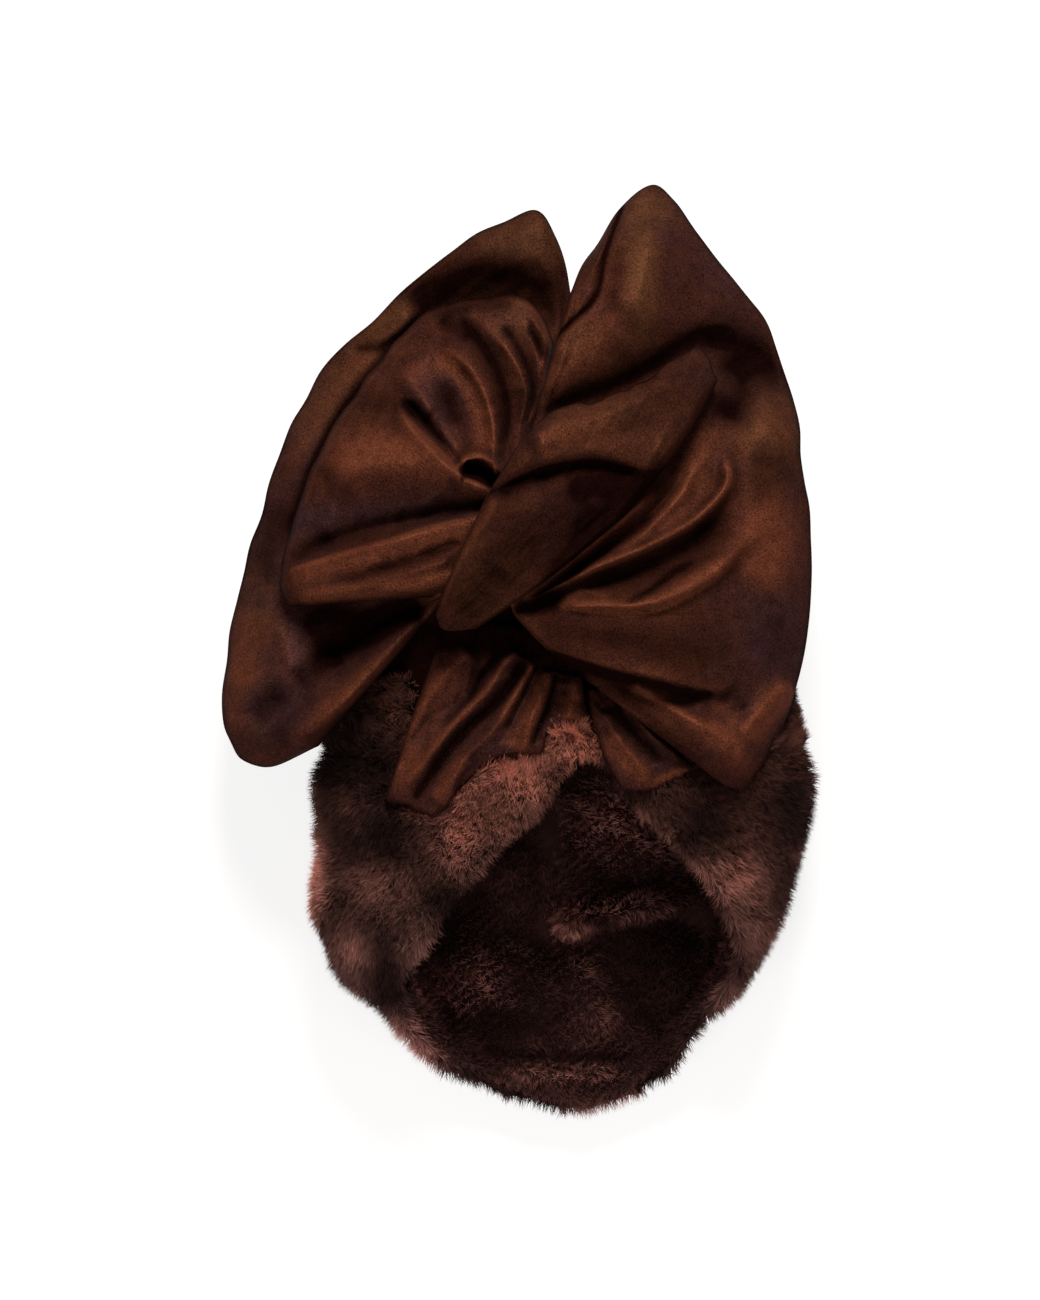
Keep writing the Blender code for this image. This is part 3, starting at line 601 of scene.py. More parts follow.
# Painted light where a fold catches the light, painted shade where it turns away or lies under another.
LEFT_LOOP_SHADING = (
    (-1.1, 9, 9, 0.15, 0.15, (395, 310, 435, 289, 470, 272, 505, 271, 535, 281, 565, 294)),
    (-0.2, 9, 9, 0.3, 0.3, (470, 240, 530, 228, 548, 262)),
    (-0.8, 3, 3, 0.2, 0.2, (345, 348, 384, 345, 430, 310)),
    (0.6, 4, 6, 0.2, 0.2, (395, 335, 345, 380, 312, 435, 292, 480)),
    (-1.1, 5, 4, 0.1, 0.2, (432, 305, 385, 354, 345, 405, 312, 465, 296, 520, 286, 575)),
    (-0.6, 9, 9, 0.3, 0.3, (282, 490, 268, 540, 255, 590)),
    (0.9, 9, 9, 0.3, 0.3, (262, 600, 250, 640, 238, 690)),
    (-0.25, 11, 10, 0.3, 0.3, (295, 686, 266, 702, 242, 726)),
    (-1.8, 11, 11, 0.1, 0.2, (425, 606, 370, 628, 325, 628, 300, 642)),
    (-0.9, 8, 8, 0.1, 0.2, (340, 650, 312, 672, 295, 685)),
    (0.8, 5, 6, 0.1, 0.2, (438, 604, 400, 645, 350, 695, 300, 735)),
    (-1.4, 4, 3, 0.1, 0.2, (436, 622, 395, 683, 345, 724, 322, 744)),
    (-0.4, 3, 3, 0.2, 0.2, (325, 690, 300, 712, 270, 748)),
    (0.6, 8, 8, 0.3, 0.3, (248, 655, 238, 700, 240, 740)),
)
leaf(
    "left_loop", LEFT_LOOP_HUB, LEFT_LOOP_EDGE, folds=LEFT_LOOP_FOLDS,
    painted_shading=LEFT_LOOP_SHADING, pad=19.0, rolls=(20, 14, 30, 8), grid=(200, 110), pleats=(26, 3, 0.45, 1.2),
    seed=31,
    plum_and_shade=((270, 705, 50, 40, 1.0), (262, 590, 40, 90, 0.8), (300, 430, 40, 60, 0.7), (340, 640, 60, 40, 0.6)),
    gold_and_sheen=(
        (520, 240, 50, 34, 0.7), (395, 320, 60, 40, 0.6), (320, 400, 40, 50, 0.5), (255, 620, 30, 90, 0.35),
    ),
)

# %% [markdown]
# The front leaf is the cloth that is drawn out of the knot and folded over the back one. Its folds fan out
# from a small dark hole beside the knot, which is a deep, narrow valley here with painted shade in it, and
# needs no cut.

# %% Left fold
LEFT_FOLD_HUB = ((0.0, 528, 452), (0.5, 492, 520), (1.0, 455, 596))
LEFT_FOLD_EDGE = (
    (0.00, 554, 345), (0.08, 536, 308), (0.16, 512, 296), (0.27, 466, 297), (0.37, 428, 311),
    (0.49, 384, 357), (0.60, 345, 410), (0.71, 312, 468), (0.82, 290, 533), (0.92, 281, 585),
    (1.00, 288, 607),
)
LEFT_FOLD_FOLDS = (
    (4, 3, 2, 0.1, 0.2, (528, 430, 545, 385, 548, 350, 525, 305)),
    (-4, 3, 3, 0.1, 0.3, (524, 430, 538, 385, 534, 350, 520, 325)),
    (4, 3, 3, 0.1, 0.3, (520, 430, 526, 395, 508, 352, 478, 322)),
    (-9, 6, 7, 0.0, 0.2, (505, 460, 510, 410, 490, 360, 458, 314)),
    (10, 3, 12, 0.0, 0.25, (494, 465, 494, 435, 476, 378, 440, 340)),
    (-5, 6, 6, 0.1, 0.3, (466, 460, 452, 415, 438, 380)),
    (4, 6, 6, 0.2, 0.3, (436, 420, 412, 385, 400, 360)),
    (5, 2, 2, 0.1, 0.1, (455, 474, 464, 463, 478, 458, 491, 464, 499, 476)),
    (-8, 2.5, 3, 0.0, 0.2, (458, 464, 447, 450, 428, 427, 402, 398)),
    (-15, 3.5, 3.5, 0.0, 0.1, (496, 486, 480, 476, 463, 472)),
    (8, 5, 1.8, 0.0, 0.2, (496, 493, 462, 478, 430, 449, 396, 410)),
    (12, 18, 13, 0.0, 0.2, (490, 480, 430, 465, 370, 465, 325, 485)),
    (-9, 6, 6, 0.0, 0.2, (482, 508, 420, 520, 350, 536, 296, 560)),
    (9, 7, 2.5, 0.0, 0.1, (482, 518, 435, 528, 380, 546, 330, 559, 288, 574)),
    (-3, 2, 2, 0.1, 0.3, (465, 540, 420, 558, 350, 577)),
    (3, 3, 3, 0.1, 0.2, (455, 560, 400, 577, 340, 592, 295, 598)),
)
# Painted light where a fold catches the light, painted shade where it turns away or lies under another.
LEFT_FOLD_SHADING = (
    (0.7, 1.8, 1.8, 0.1, 0.2, (522, 318, 530, 345, 545, 372, 536, 400)),
    (0.6, 1.6, 1.6, 0.1, 0.2, (512, 298, 535, 312, 546, 335, 548, 352)),
    (-0.8, 2.5, 2.5, 0.1, 0.2, (528, 322, 538, 345, 546, 362)),
    (-0.9, 3, 3, 0.1, 0.2, (500, 322, 520, 352, 532, 390, 525, 420)),
    (0.4, 3, 3, 0.1, 0.2, (468, 308, 495, 336, 516, 372, 522, 400)),
    (-0.8, 4, 5, 0.1, 0.1, (456, 314, 480, 342, 500, 378, 507, 415, 503, 450)),
    (-0.5, 5, 5, 0.2, 0.2, (440, 315, 450, 330, 470, 345)),
    (1.25, 2.5, 8, 0.15, 0.1, (440, 345, 465, 372, 484, 405, 492, 435, 490, 456)),
    (-0.7, 7, 7, 0.2, 0.2, (440, 372, 452, 405, 452, 432)),
    (0.35, 6, 6, 0.2, 0.2, (405, 360, 418, 375, 430, 350)),
    (-0.7, 5, 6, 0.2, 0.2, (425, 322, 468, 304, 520, 300)),
    (-0.45, 7, 7, 0.2, 0.2, (350, 412, 385, 402, 425, 420)),
    (-0.8, 2.0, 2.5, 0.1, 0.2, (402, 398, 430, 428, 454, 454)),
    (0.9, 1.5, 3, 0.1, 0.1, (398, 408, 430, 445, 456, 472, 494, 492)),
    (-8.0, 2.7, 2.7, 0.0, 0.0, (467, 472, 479, 475, 491, 482)),
    (0.9, 1.2, 1.2, 0.1, 0.1, (456, 470, 465, 461, 478, 457, 491, 463)),
    (1.1, 8, 11, 0.05, 0.2, (455, 472, 410, 456, 365, 456, 325, 478)),
    (-0.2, 6, 8, 0.05, 0.15, (488, 500, 430, 507, 370, 518, 305, 538)),
    (-0.6, 5, 5, 0.1, 0.2, (330, 530, 305, 550, 292, 565)),
    (1.5, 8, 1.6, 0.05, 0.05, (482, 520, 435, 529, 380, 547, 330, 560, 288, 574)),
    (-0.6, 1.5, 1.5, 0.2, 0.3, (470, 540, 420, 560, 360, 577, 320, 586)),
    (-0.5, 3, 3, 0.0, 0.2, (478, 545, 450, 560, 440, 580)),
    (1.0, 4, 5, 0.05, 0.1, (455, 572, 400, 587, 340, 595, 296, 600)),
    (0.25, 1.5, 3, 0.1, 0.1, (425, 318, 385, 362, 350, 408, 318, 465, 303, 515)),
)
leaf(
    "left_fold", LEFT_FOLD_HUB, LEFT_FOLD_EDGE, folds=LEFT_FOLD_FOLDS,
    painted_shading=LEFT_FOLD_SHADING, pad=12.0, rolls=(8, 8, 6, 8), grid=(220, 110), pleats=(26, 3, 0.4, 0.9), seed=41,
    plum_and_shade=((400, 515, 90, 16, 0.9), (310, 530, 30, 25, 0.9), (440, 400, 30, 40, 0.7), (500, 330, 30, 40, 0.3)),
    gold_and_sheen=((520, 320, 40, 30, 0.3),),
)

# %% [markdown]
# The right loop rises to the bow's highest tip. Narrow folds sweep out of the knot across it, and below
# them a broad petal ends in a crisp edge over the lower flap.

# %% Right loop
RIGHT_LOOP_HUB = ((0.00, 524, 455), (0.30, 512, 530), (0.60, 510, 600), (0.85, 524, 627), (1.00, 551, 654))
RIGHT_LOOP_EDGE = (
    (0.00, 569, 293), (0.06, 592, 250), (0.12, 622, 206), (0.17, 652, 183), (0.21, 672, 198),
    (0.30, 718, 258), (0.38, 761, 312), (0.46, 786, 371), (0.54, 799, 432), (0.62, 806, 492),
    (0.70, 810, 555), (0.78, 808, 618), (0.85, 797, 676), (0.91, 776, 733), (0.955, 754, 776),
    (0.975, 738, 793), (1.00, 711, 775),
)
RIGHT_LOOP_FOLDS = (
    (-3, 1.4, 1.4, 0.0, 0.2, (622, 206, 604, 258, 592, 302, 568, 328, 546, 352)),
    (5, 9, 9, 0.3, 0.3, (652, 215, 645, 270, 630, 335)),
    (-14, 11, 11, 0.1, 0.2, (530, 420, 600, 398, 655, 370, 710, 345, 755, 355, 790, 400)),
    (-8, 8, 8, 0.2, 0.2, (735, 350, 745, 385, 725, 430)),
    (5, 12, 12, 0.4, 0.4, (735, 410, 775, 430, 800, 475)),
    (7, 2.5, 2.5, 0.0, 0.25, (510, 605, 560, 568, 612, 528, 655, 490)),
    (-6, 3, 3, 0.0, 0.3, (520, 605, 575, 572, 635, 530, 690, 470)),
    (4, 2.5, 2.5, 0.1, 0.3, (580, 575, 640, 535, 680, 495, 700, 462, 722, 448)),
    (9, 3, 2, 0.0, 0.1, (530, 600, 590, 571, 650, 546, 702, 515, 727, 482, 722, 450)),
    (-9, 6, 8, 0.0, 0.3, (535, 602, 600, 585, 660, 562, 712, 525, 745, 480)),
    (9, 9, 3, 0.1, 0.3, (552, 606, 600, 606, 650, 604, 705, 580, 756, 536, 785, 520)),
    (-3, 2, 2, 0.1, 0.3, (612, 606, 645, 592, 670, 575, 715, 550)),
    (13, 30, 1.6, 0.0, 0.35, (505, 638, 560, 653, 605, 667, 655, 679, 705, 691, 740, 694)),
    (-9, 6, 8, 0.0, 0.3, (560, 664, 610, 682, 660, 700, 710, 716)),
    (-6, 7, 7, 0.2, 0.3, (720, 690, 732, 708, 738, 725)),
    (8, 5, 4, 0.1, 0.1, (625, 680, 665, 703, 705, 730, 735, 750)),
    (7, 4, 6, 0.2, 0.1, (795, 680, 768, 705, 742, 738, 732, 765)),
)
# Painted light where a fold catches the light, painted shade where it turns away or lies under another.
RIGHT_LOOP_SHADING = (
    (-1.3, 1.3, 1.3, 0.0, 0.1, (622, 206, 605, 255, 594, 300, 568, 326, 550, 347, 545, 360)),
    (-0.2, 6, 6, 0.2, 0.2, (652, 205, 640, 235, 636, 262)),
    (-0.35, 4, 4, 0.2, 0.2, (620, 240, 615, 280, 612, 320)),
    (0.5, 8, 8, 0.2, 0.1, (625, 312, 592, 345, 566, 372, 545, 395)),
    (-0.85, 2.5, 6, 0.1, 0.05, (533, 424, 556, 404, 588, 390, 640, 368, 672, 345, 705, 328, 740, 335)),
    (-0.7, 13, 13, 0.2, 0.3, (700, 325, 745, 345, 775, 375, 800, 400)),
    (-0.7, 12, 12, 0.2, 0.2, (722, 350, 730, 385, 722, 430)),
    (-0.3, 5, 5, 0.1, 0.05, (722, 385, 705, 430, 680, 470, 650, 500)),
    (0.2, 10, 10, 0.5, 0.2, (735, 405, 772, 422, 800, 445)),
    (-0.3, 6, 6, 0.2, 0.2, (750, 445, 775, 465, 800, 470)),
    (0.9, 1.5, 2.5, 0.05, 0.2, (520, 600, 560, 568, 612, 528, 655, 490)),
    (-0.75, 2, 2, 0.05, 0.2, (530, 600, 580, 568, 632, 532, 670, 502)),
    (0.8, 6, 6, 0.1, 0.2, (650, 530, 680, 500, 700, 450, 705, 420)),
    (0.35, 2, 2, 0.2, 0.3, (600, 560, 650, 528, 680, 495, 700, 462)),
    (1.0, 1.6, 1.8, 0.05, 0.1, (545, 595, 595, 569, 650, 547, 702, 515, 727, 482, 723, 452)),
    (-0.45, 4, 8, 0.05, 0.2, (540, 604, 600, 586, 655, 568, 705, 535, 738, 495)),
    (-0.15, 7, 7, 0.2, 0.2, (640, 572, 690, 548, 725, 512)),
    (1.25, 12, 12, 0.25, 0.25, (745, 500, 768, 530, 765, 562, 742, 590)),
    (1.9, 5, 1.6, 0.05, 0.15, (555, 606, 600, 612, 640, 613, 690, 593, 735, 560)),
    (0.7, 3, 2, 0.1, 0.2, (562, 600, 590, 592, 612, 602)),
    (-0.9, 2, 2, 0.1, 0.3, (622, 606, 648, 592, 672, 574, 705, 558)),
    (-0.6, 10, 11, 0.1, 0.25, (530, 625, 600, 638, 680, 648, 740, 650)),
    (-0.4, 8, 8, 0.3, 0.3, (770, 600, 778, 640, 770, 670)),
    (-1.6, 1.2, 4, 0.05, 0.15, (515, 641, 560, 655, 605, 669, 655, 681, 705, 692, 730, 694)),
    (0.6, 3, 5, 0.1, 0.1, (625, 681, 665, 703, 705, 728, 735, 745)),
    (1.6, 6, 5, 0.1, 0.1, (795, 688, 770, 708, 745, 738)),
    (0.4, 5, 5, 0.2, 0.2, (745, 690, 765, 690, 785, 685)),
    (0.9, 4, 4, 0.2, 0.2, (705, 700, 725, 708, 735, 725)),
    (0.7, 10, 10, 0.2, 0.2, (698, 724, 732, 746, 728, 778)),
    (-0.5, 4, 4, 0.2, 0.2, (640, 715, 675, 745, 705, 770)),
)
leaf(
    "right_loop", RIGHT_LOOP_HUB, RIGHT_LOOP_EDGE, folds=RIGHT_LOOP_FOLDS,
    painted_shading=RIGHT_LOOP_SHADING, pad=19.0, rolls=(14, 10, 30, 8), grid=(240, 120), pleats=(30, 3, 0.5, 1.1),
    seed=51,
    plum_and_shade=(
        (770, 640, 44, 60, 1.0), (790, 520, 16, 60, 0.5), (730, 270, 40, 50, 0.8), (745, 365, 60, 40, 0.6),
        (655, 215, 50, 34, 0.5), (740, 740, 50, 50, 0.4),
    ),
    gold_and_sheen=((643, 275, 16, 70, 0.9), (655, 205, 30, 24, 0.6), (580, 345, 34, 26, 0.3), (770, 430, 40, 40, 0.5)),
)

# %% [markdown]
# The knot is one wide band that crosses the middle and turns over on itself, which leaves a pointed leaf
# of cloth below a curved lip.

# %% Knot band
BAND_TIP = ((0.0, 436, 612), (0.5, 445, 630), (1.0, 478, 629))
BAND_THROUGH = ((0.0, 480, 512), (0.5, 557, 510), (1.0, 630, 508))
BAND_END = (
    (0.0, 525, 440), (0.2, 552, 412), (0.4, 602, 401), (0.6, 652, 377), (0.8, 697, 349), (1.0, 717, 380),
)
BAND_FOLDS = (
    (8, 12, 16, 0.1, 0.3, (525, 450, 590, 425, 650, 398, 700, 370)),
    (-10, 3, 10, 0.0, 0.15, (460, 520, 494, 494, 540, 474, 600, 466, 648, 484)),
    (4, 10, 10, 0.1, 0.3, (500, 580, 540, 530, 590, 498)),
    (-8, 7, 7, 0.0, 0.3, (660, 478, 640, 492, 600, 520, 560, 560)),
)
# Painted light where a fold catches the light, painted shade where it turns away or lies under another.
BAND_SHADING = (
    (0.6, 9, 8, 0.1, 0.3, (535, 448, 580, 433, 625, 425)),
    (0.3, 6, 6, 0.1, 0.1, (560, 455, 620, 445, 665, 440)),
    (-0.25, 10, 9, 0.3, 0.1, (625, 395, 665, 385, 705, 368)),
    (-0.5, 3, 3, 0.0, 0.3, (528, 440, 545, 425, 560, 405)),
    (-1.2, 1.2, 6, 0.1, 0.1, (490, 496, 545, 470, 600, 463, 652, 478)),
    (-1.6, 5, 6, 0.3, 0.0, (560, 488, 605, 487, 645, 486)),
    (-1.2, 6, 8, 0.0, 0.3, (650, 482, 630, 495, 600, 522, 565, 565, 525, 598)),
    (-0.7, 14, 14, 0.1, 0.0, (590, 490, 540, 530, 470, 605)),
    (0.8, 1.6, 4, 0.1, 0.1, (500, 495, 478, 535, 452, 580, 440, 612)),
)
leaf(
    "knot_band", BAND_TIP, BAND_END, BAND_THROUGH, BAND_FOLDS, BAND_SHADING, pad=18.0,
    rolls=(10, 5, 13, 12), grid=(150, 150), pleats=(10, 4, 0.2, 0.7), calm=90, seed=61,
    plum_and_shade=((560, 520, 60, 40, 0.2), (690, 370, 25, 25, 0.3)),
    gold_and_sheen=((475, 585, 40, 50, 0.25), (600, 420, 80, 40, 0.3)),
)

# %% [markdown]
# The crown, the fur and the lining follow their solids closely. A subdivided solid would keep its facets,
# so a copy is rebuilt as a skin of small even faces and smoothed, which gives cloth its soft corners.

# %% Even skins
CAP_AXIS = (0.0215, 0.050)  # across, and up from the table


def even_skin(name, node, voxel, rounds, swell=0.0):
    """A copy of a solid, swollen a little, as a closed skin of small even faces with worn corners."""
    copy = bmesh.new()
    copy.from_mesh(bpy.data.objects[node].data)
    bmesh.ops.remove_doubles(copy, verts=copy.verts, dist=0.00001)
    copy.normal_update()
    for vert in copy.verts:
        vert.co += vert.normal * swell
    data = bpy.data.meshes.new(name)
    copy.to_mesh(data)
    copy.free()
    piece = new_object(name, data)
    remesh = piece.modifiers.new("even", "REMESH")
    remesh.mode, remesh.voxel_size = "VOXEL", voxel
    worn = piece.modifiers.new("worn", "SMOOTH")
    worn.factor, worn.iterations = 0.5, rounds
    evaluated = piece.evaluated_get(bpy.context.evaluated_depsgraph_get())
    skin = bpy.data.meshes.new_from_object(evaluated)
    piece.modifiers.clear()
    piece.data = skin
    skin.name = name
    return piece


def outwardness(places, normals):
    """1 where a skin faces away from the cap's middle line, -1 where it faces it."""
    away = np.column_stack([places[:, 0] - CAP_AXIS[0], np.zeros(len(places)), places[:, 2] - CAP_AXIS[1]])
    away /= np.linalg.norm(away, axis=1)[:, None] + 1e-9
    return (away * normals).sum(1)


# %% [markdown]
# Behind the bow the crown is plain satin, gathered towards its end. Waves round the cap's middle line press
# shallow pleats into its skin, deeper towards the gathering, and none where it lies on the table.

# %% Crown
CROWN_VOXEL = 0.0026
CROWN_PLEATS = 46
CROWN_PLEAT_DEPTH = 0.0011
PLEATS_START, PLEATS_GROW = -0.035, 0.10  # along the table
CROWN_SWELL = 0.0006  # keeps its thin wall closed
FULL_TURN = 6.3
# Painted shade where the crown shows in the dark beside the gathers and under the bow.
CROWN_SHADE = (
    (355, 700, 80, 60, 1.2), (610, 700, 60, 60, 1.2), (425, 690, 34, 60, 1.6), (475, 645, 60, 20, 1.4),
)

crown = even_skin("crown_satin", "crown", CROWN_VOXEL, 5, CROWN_SWELL)
places, normals = mesh_arrays(crown.data)
bearing = np.arctan2(places[:, 0] - CAP_AXIS[0], places[:, 2] - CAP_AXIS[1])
gathering = np.clip((places[:, 1] - PLEATS_START) / PLEATS_GROW, 0, 1)
pleat = np.sin(CROWN_PLEATS * bearing + 2.5 * np.sin(3 * bearing) + 18 * places[:, 1])
places += normals * (CROWN_PLEAT_DEPTH * gathering * pleat * (places[:, 2] > 0.002))[:, None]
crown.data.vertices.foreach_set("co", places.ravel())
add_threads(crown.data, bearing / FULL_TURN, places[:, 1])
add_attribute(crown.data, "dark", patches(places, CROWN_SHADE) * (places[:, 2] > 0.05))
crown.data.shade_smooth()
crown.data.materials.clear()
crown.data.materials.append(satin)
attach(crown, "root")
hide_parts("crown")
print("crown:", len(crown.data.polygons), "faces")

# %% [markdown]
# The pelt is dyed in pale and dark blotches, and is warmer near the bow. One attribute says how pale each
# hair is: it holds the blotches, and also painted highlights and painted shade where light and shadow fall on
# the coat. Another darkens it towards its root, because little light gets down between real hairs.

# %% Fur finish
FUR_DARK = (0.0130, 0.0050, 0.0050, 1)
FUR_PALE = (0.800, 0.375, 0.320, 1)
FUR_WARM = (0.880, 0.310, 0.205, 1)
LINING_DARK = (0.0520, 0.0150, 0.0160, 1)
LINING_PALE = (0.760, 0.310, 0.250, 1)
ROOT = (0.006, 0.0026, 0.0026, 1)
BLOTCHES, STRANDS = 30.0, 900.0  # how fine each noise is


def fur_finish(name, dark, pale, warm):
    finish = Finish(name)
    place = finish.node("ShaderNodeTexCoord", {}, {}, "Object")
    blotches = finish.noise(place, BLOTCHES, 3.0)
    strands = finish.noise(place, STRANDS, 2.0)
    paleness = finish.attribute("pale") + (blotches - 0.5) * 0.45 + (strands - 0.5) * 0.2
    height = finish.node("ShaderNodeSeparateXYZ", {}, {"Vector": place}, "Y")
    tips = finish.mix(height * 7 + 1.2, pale, warm)
    coat = finish.mix(paleness, dark, tips)
    rooted = finish.mix(finish.attribute("root") * 0.8, coat, ROOT)
    finish.set(Base_Color=rooted, Roughness=0.62 + blotches * 0.2)
    finish.set(Specular_IOR_Level=0.2, Specular_Tint=(0.9, 0.5, 0.4, 1))
    finish.set(Sheen_Weight=0.15, Sheen_Roughness=0.35, Sheen_Tint=(1.0, 0.65, 0.55, 1))
    return finish.material


band_fur = fur_finish("band_fur", FUR_DARK, FUR_PALE, FUR_WARM)
lining_fur = fur_finish("lining_fur", LINING_DARK, LINING_PALE, LINING_PALE)
BAND_COAT = {"finish": band_fur, "slot": "fur", "node": "fur_band"}
LINING_COAT = {"finish": lining_fur, "slot": "lining_fur", "node": "fur_lining"}

# %% [markdown]
# Plush is thousands of short hairs that lean the same way. Hair curves would have to become meshes for the
# export, so each hair is one slim triangle from the start. Smooth waves turn neighbouring hairs together,
# which makes the lie of the coat, its tufts and its dark partings.

# %% Hair maker
FUR_TONE = 0.10  # of fur without a patch
LAYS = ((0.55, 0.060), (0.35, 0.014))  # strength and length of the coat's wide and fine turns
TUFT, TUFT_PULL, STRAY = 0.0060, 0.38, 0.18
PARTING, PARTING_WIDTH, PARTING_SHADE = 0.022, 0.10, 0.6
PALE_SHIFT, PALE_SPREAD, PALE_TUFT = 0.0025, 0.25, 0.05
SHORTEST, LONGEST = 0.7, 1.15
HAIR_FLOOR = 0.0004  # tips stay above the table


def waves(places, length, seed, count=7):
    """A smooth random vector for each place, which turns over about the given length."""
    rng = np.random.default_rng(seed)
    total = np.zeros((len(places), 3))
    for _ in range(count):
        wave = rng.normal(size=3)
        wave *= 2 * math.pi / length / np.linalg.norm(wave) * rng.uniform(0.7, 1.4)
        total += rng.normal(size=3) * np.sin(places @ wave + rng.uniform(0, 7))[:, None]
    return total / math.sqrt(count)


def scatter(skin, keep, count, seed):
    """Random roots on the faces that are kept, with their normals."""
    data = skin.data
    data.calc_loop_triangles()
    triangles = np.empty(3 * len(data.loop_triangles), int)
    data.loop_triangles.foreach_get("vertices", triangles)
    triangles = triangles.reshape(-1, 3)
    places, normals = mesh_arrays(data)
    a, b, c = (places[triangles[:, k]] for k in range(3))
    middle, facing = (a + b + c) / 3, normals[triangles].mean(1)
    area = np.linalg.norm(np.cross(b - a, c - a), axis=1) / 2 * keep(middle, facing)
    rng = np.random.default_rng(seed)
    chosen = rng.choice(len(triangles), count, p=area / area.sum())
    s, t = rng.random(count), rng.random(count)
    s, t = np.where(s + t > 1, 1 - s, s)[:, None], np.where(s + t > 1, 1 - t, t)[:, None]
    corners = triangles[chosen]
    roots = places[corners[:, 0]] * (1 - s - t) + places[corners[:, 1]] * s + places[corners[:, 2]] * t
    facing = normals[corners[:, 0]] * (1 - s - t) + normals[corners[:, 1]] * s + normals[corners[:, 2]] * t
    return roots, facing / (np.linalg.norm(facing, axis=1)[:, None] + 1e-9)


def grow_fur(name, skin, keep, count, length, width, comb, lean, paleness, finish, slot, node, seed):
    """A coat of slim triangles on a skin, in place of a solid."""
    roots, facing = scatter(skin, keep, count, seed)
    rng = np.random.default_rng(seed + 1)
    lay = np.tile(comb, (count, 1))
    for k, (strength, reach) in enumerate(LAYS):
        lay += strength * waves(roots, reach, seed + 2 + k)
    lay -= facing * (lay * facing).sum(1)[:, None]
    tuft = waves(roots, TUFT, seed + 4)
    along = facing + lean * lay + TUFT_PULL * tuft + STRAY * rng.normal(size=(count, 3))
    along /= np.linalg.norm(along, axis=1)[:, None]
    side = np.cross(along, rng.normal(size=(count, 3)))
    side *= width / 2 / np.linalg.norm(side, axis=1)[:, None]
    tips = roots + along * (length * rng.uniform(SHORTEST, LONGEST, count))[:, None]
    tips[:, 2] = np.maximum(tips[:, 2], HAIR_FLOOR)
    corners = np.stack([roots - side, roots + side, tips], 1).reshape(-1, 3)
    data = bpy.data.meshes.new(name)
    data.vertices.add(3 * count)
    data.vertices.foreach_set("co", corners.ravel())
    data.loops.add(3 * count)
    data.loops.foreach_set("vertex_index", np.arange(3 * count))
    data.polygons.add(count)
    data.polygons.foreach_set("loop_start", np.arange(0, 3 * count, 3))
    data.update()
    parting = np.exp(-((waves(roots, PARTING, seed + 5)[:, 0] / PARTING_WIDTH) ** 2))
    pale = patches(roots + PALE_SHIFT * tuft, paleness) * rng.normal(1.0, PALE_SPREAD, count)
    pale = (FUR_TONE + pale) * (1 - PARTING_SHADE * parting) + PALE_TUFT * tuft[:, 0]
    add_attribute(data, "pale", np.repeat(pale, 3))
    add_attribute(data, "root", np.tile([1.0, 1.0, 0.0], count))
    data.materials.append(finish)
    piece = new_object(name, data)
    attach(piece, "root")
    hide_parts(node)
    print(f"{name}: {count} hairs")


# %% [markdown]
# The backing under the hairs is a skin of its own. It is drawn in from the solid's face, so that the tips of
# the hairs, and not their roots, reach the size of the real band. The solid's outline is plainer than the
# real one, so the lower rim is bulged on one side and pulled in on the other.

# %% Fur band
BAND_HAIRS = 118000
BAND_HAIR = 0.0070
BAND_INSET = 0.0024
BACKING_VOXEL = 0.0034
LUMP, LUMP_LENGTH = 0.0013, 0.038
RIM_TURN = -0.35  # faces that look further from the bow than this are on the rim
WALL_COAT, TOP_COAT = 0.6, 1.9  # how thickly hair grows on a wall, and what the top has more
# The pelt's blotches, with painted highlights on the lit left rim and the lower rim, and painted shade where
# the band lies in shadow.
BAND_BLOTCHES_AND_LIGHT = (
    # x, y, reach across, reach along, strength
    (465, 800, 24, 36, 0.9), (464, 840, 22, 26, 0.6), (524, 776, 22, 22, 1.1), (572, 740, 30, 20, 1.1),
    (503, 824, 16, 20, 0.35), (426, 808, 16, 6, 0.6), (318, 868, 12, 32, 1.7), (361, 797, 14, 14, 0.15),
    (389, 884, 30, 22, 0.4), (396, 884, 5, 10, -0.35), (350, 943, 18, 20, 0.95), (424, 948, 26, 24, 0.35),
    (418, 1036, 26, 24, 2.0), (312, 915, 9, 20, 0.6), (350, 988, 20, 14, 0.35), (722, 874, 34, 22, 0.6),
    (742, 866, 12, 14, 0.3), (792, 848, 10, 8, 0.3), (757, 935, 30, 34, 0.35), (722, 988, 18, 16, 0.6),
    (630, 1096, 26, 8, 0.8), (600, 1108, 30, 8, 0.8), (640, 812, 8, 10, 0.4), (664, 836, 8, 10, 0.4),
    (695, 865, 9, 10, 0.3), (345, 750, 40, 30, -0.2), (380, 830, 44, 30, -0.08), (458, 893, 30, 22, -0.15),
    (388, 960, 16, 40, -0.12), (694, 808, 50, 26, -0.10), (780, 812, 26, 40, -0.2), (340, 1040, 30, 30, -0.1),
)
UNDER_SATIN = (  # no hair, which would prick through
    (438, 768, 14, 14, 3.0), (529, 736, 8, 8, 3.0), (642, 762, 22, 10, 3.0),
)
BAND_BULGES = (
    (12, 18, 18, 0.4, 0.35, (316, 850, 326, 910, 346, 955, 372, 1005)),
    (4, 9, 9, 0.3, 0.3, (388, 1030, 404, 1056)),
)
RIM_PULLS = (
    # x, y, reach across, reach along, pull to the right, pull down the drawing
    (722, 1048, 56, 62, -14, -15), (560, 1112, 80, 40, 0, 9), (352, 992, 24, 26, -9, 6),
    (396, 1046, 16, 16, 8, -6),
)


def pulled(places):
    """How far the fur's rim is pulled across and along the table at each place."""
    shift = np.zeros((len(places), 2))
    for x, y, across, along, right, down in RIM_PULLS:
        shift += patches(places, ((x, y, across, along, SQUARE),))[:, None] * np.array([right, -down])
    return shift


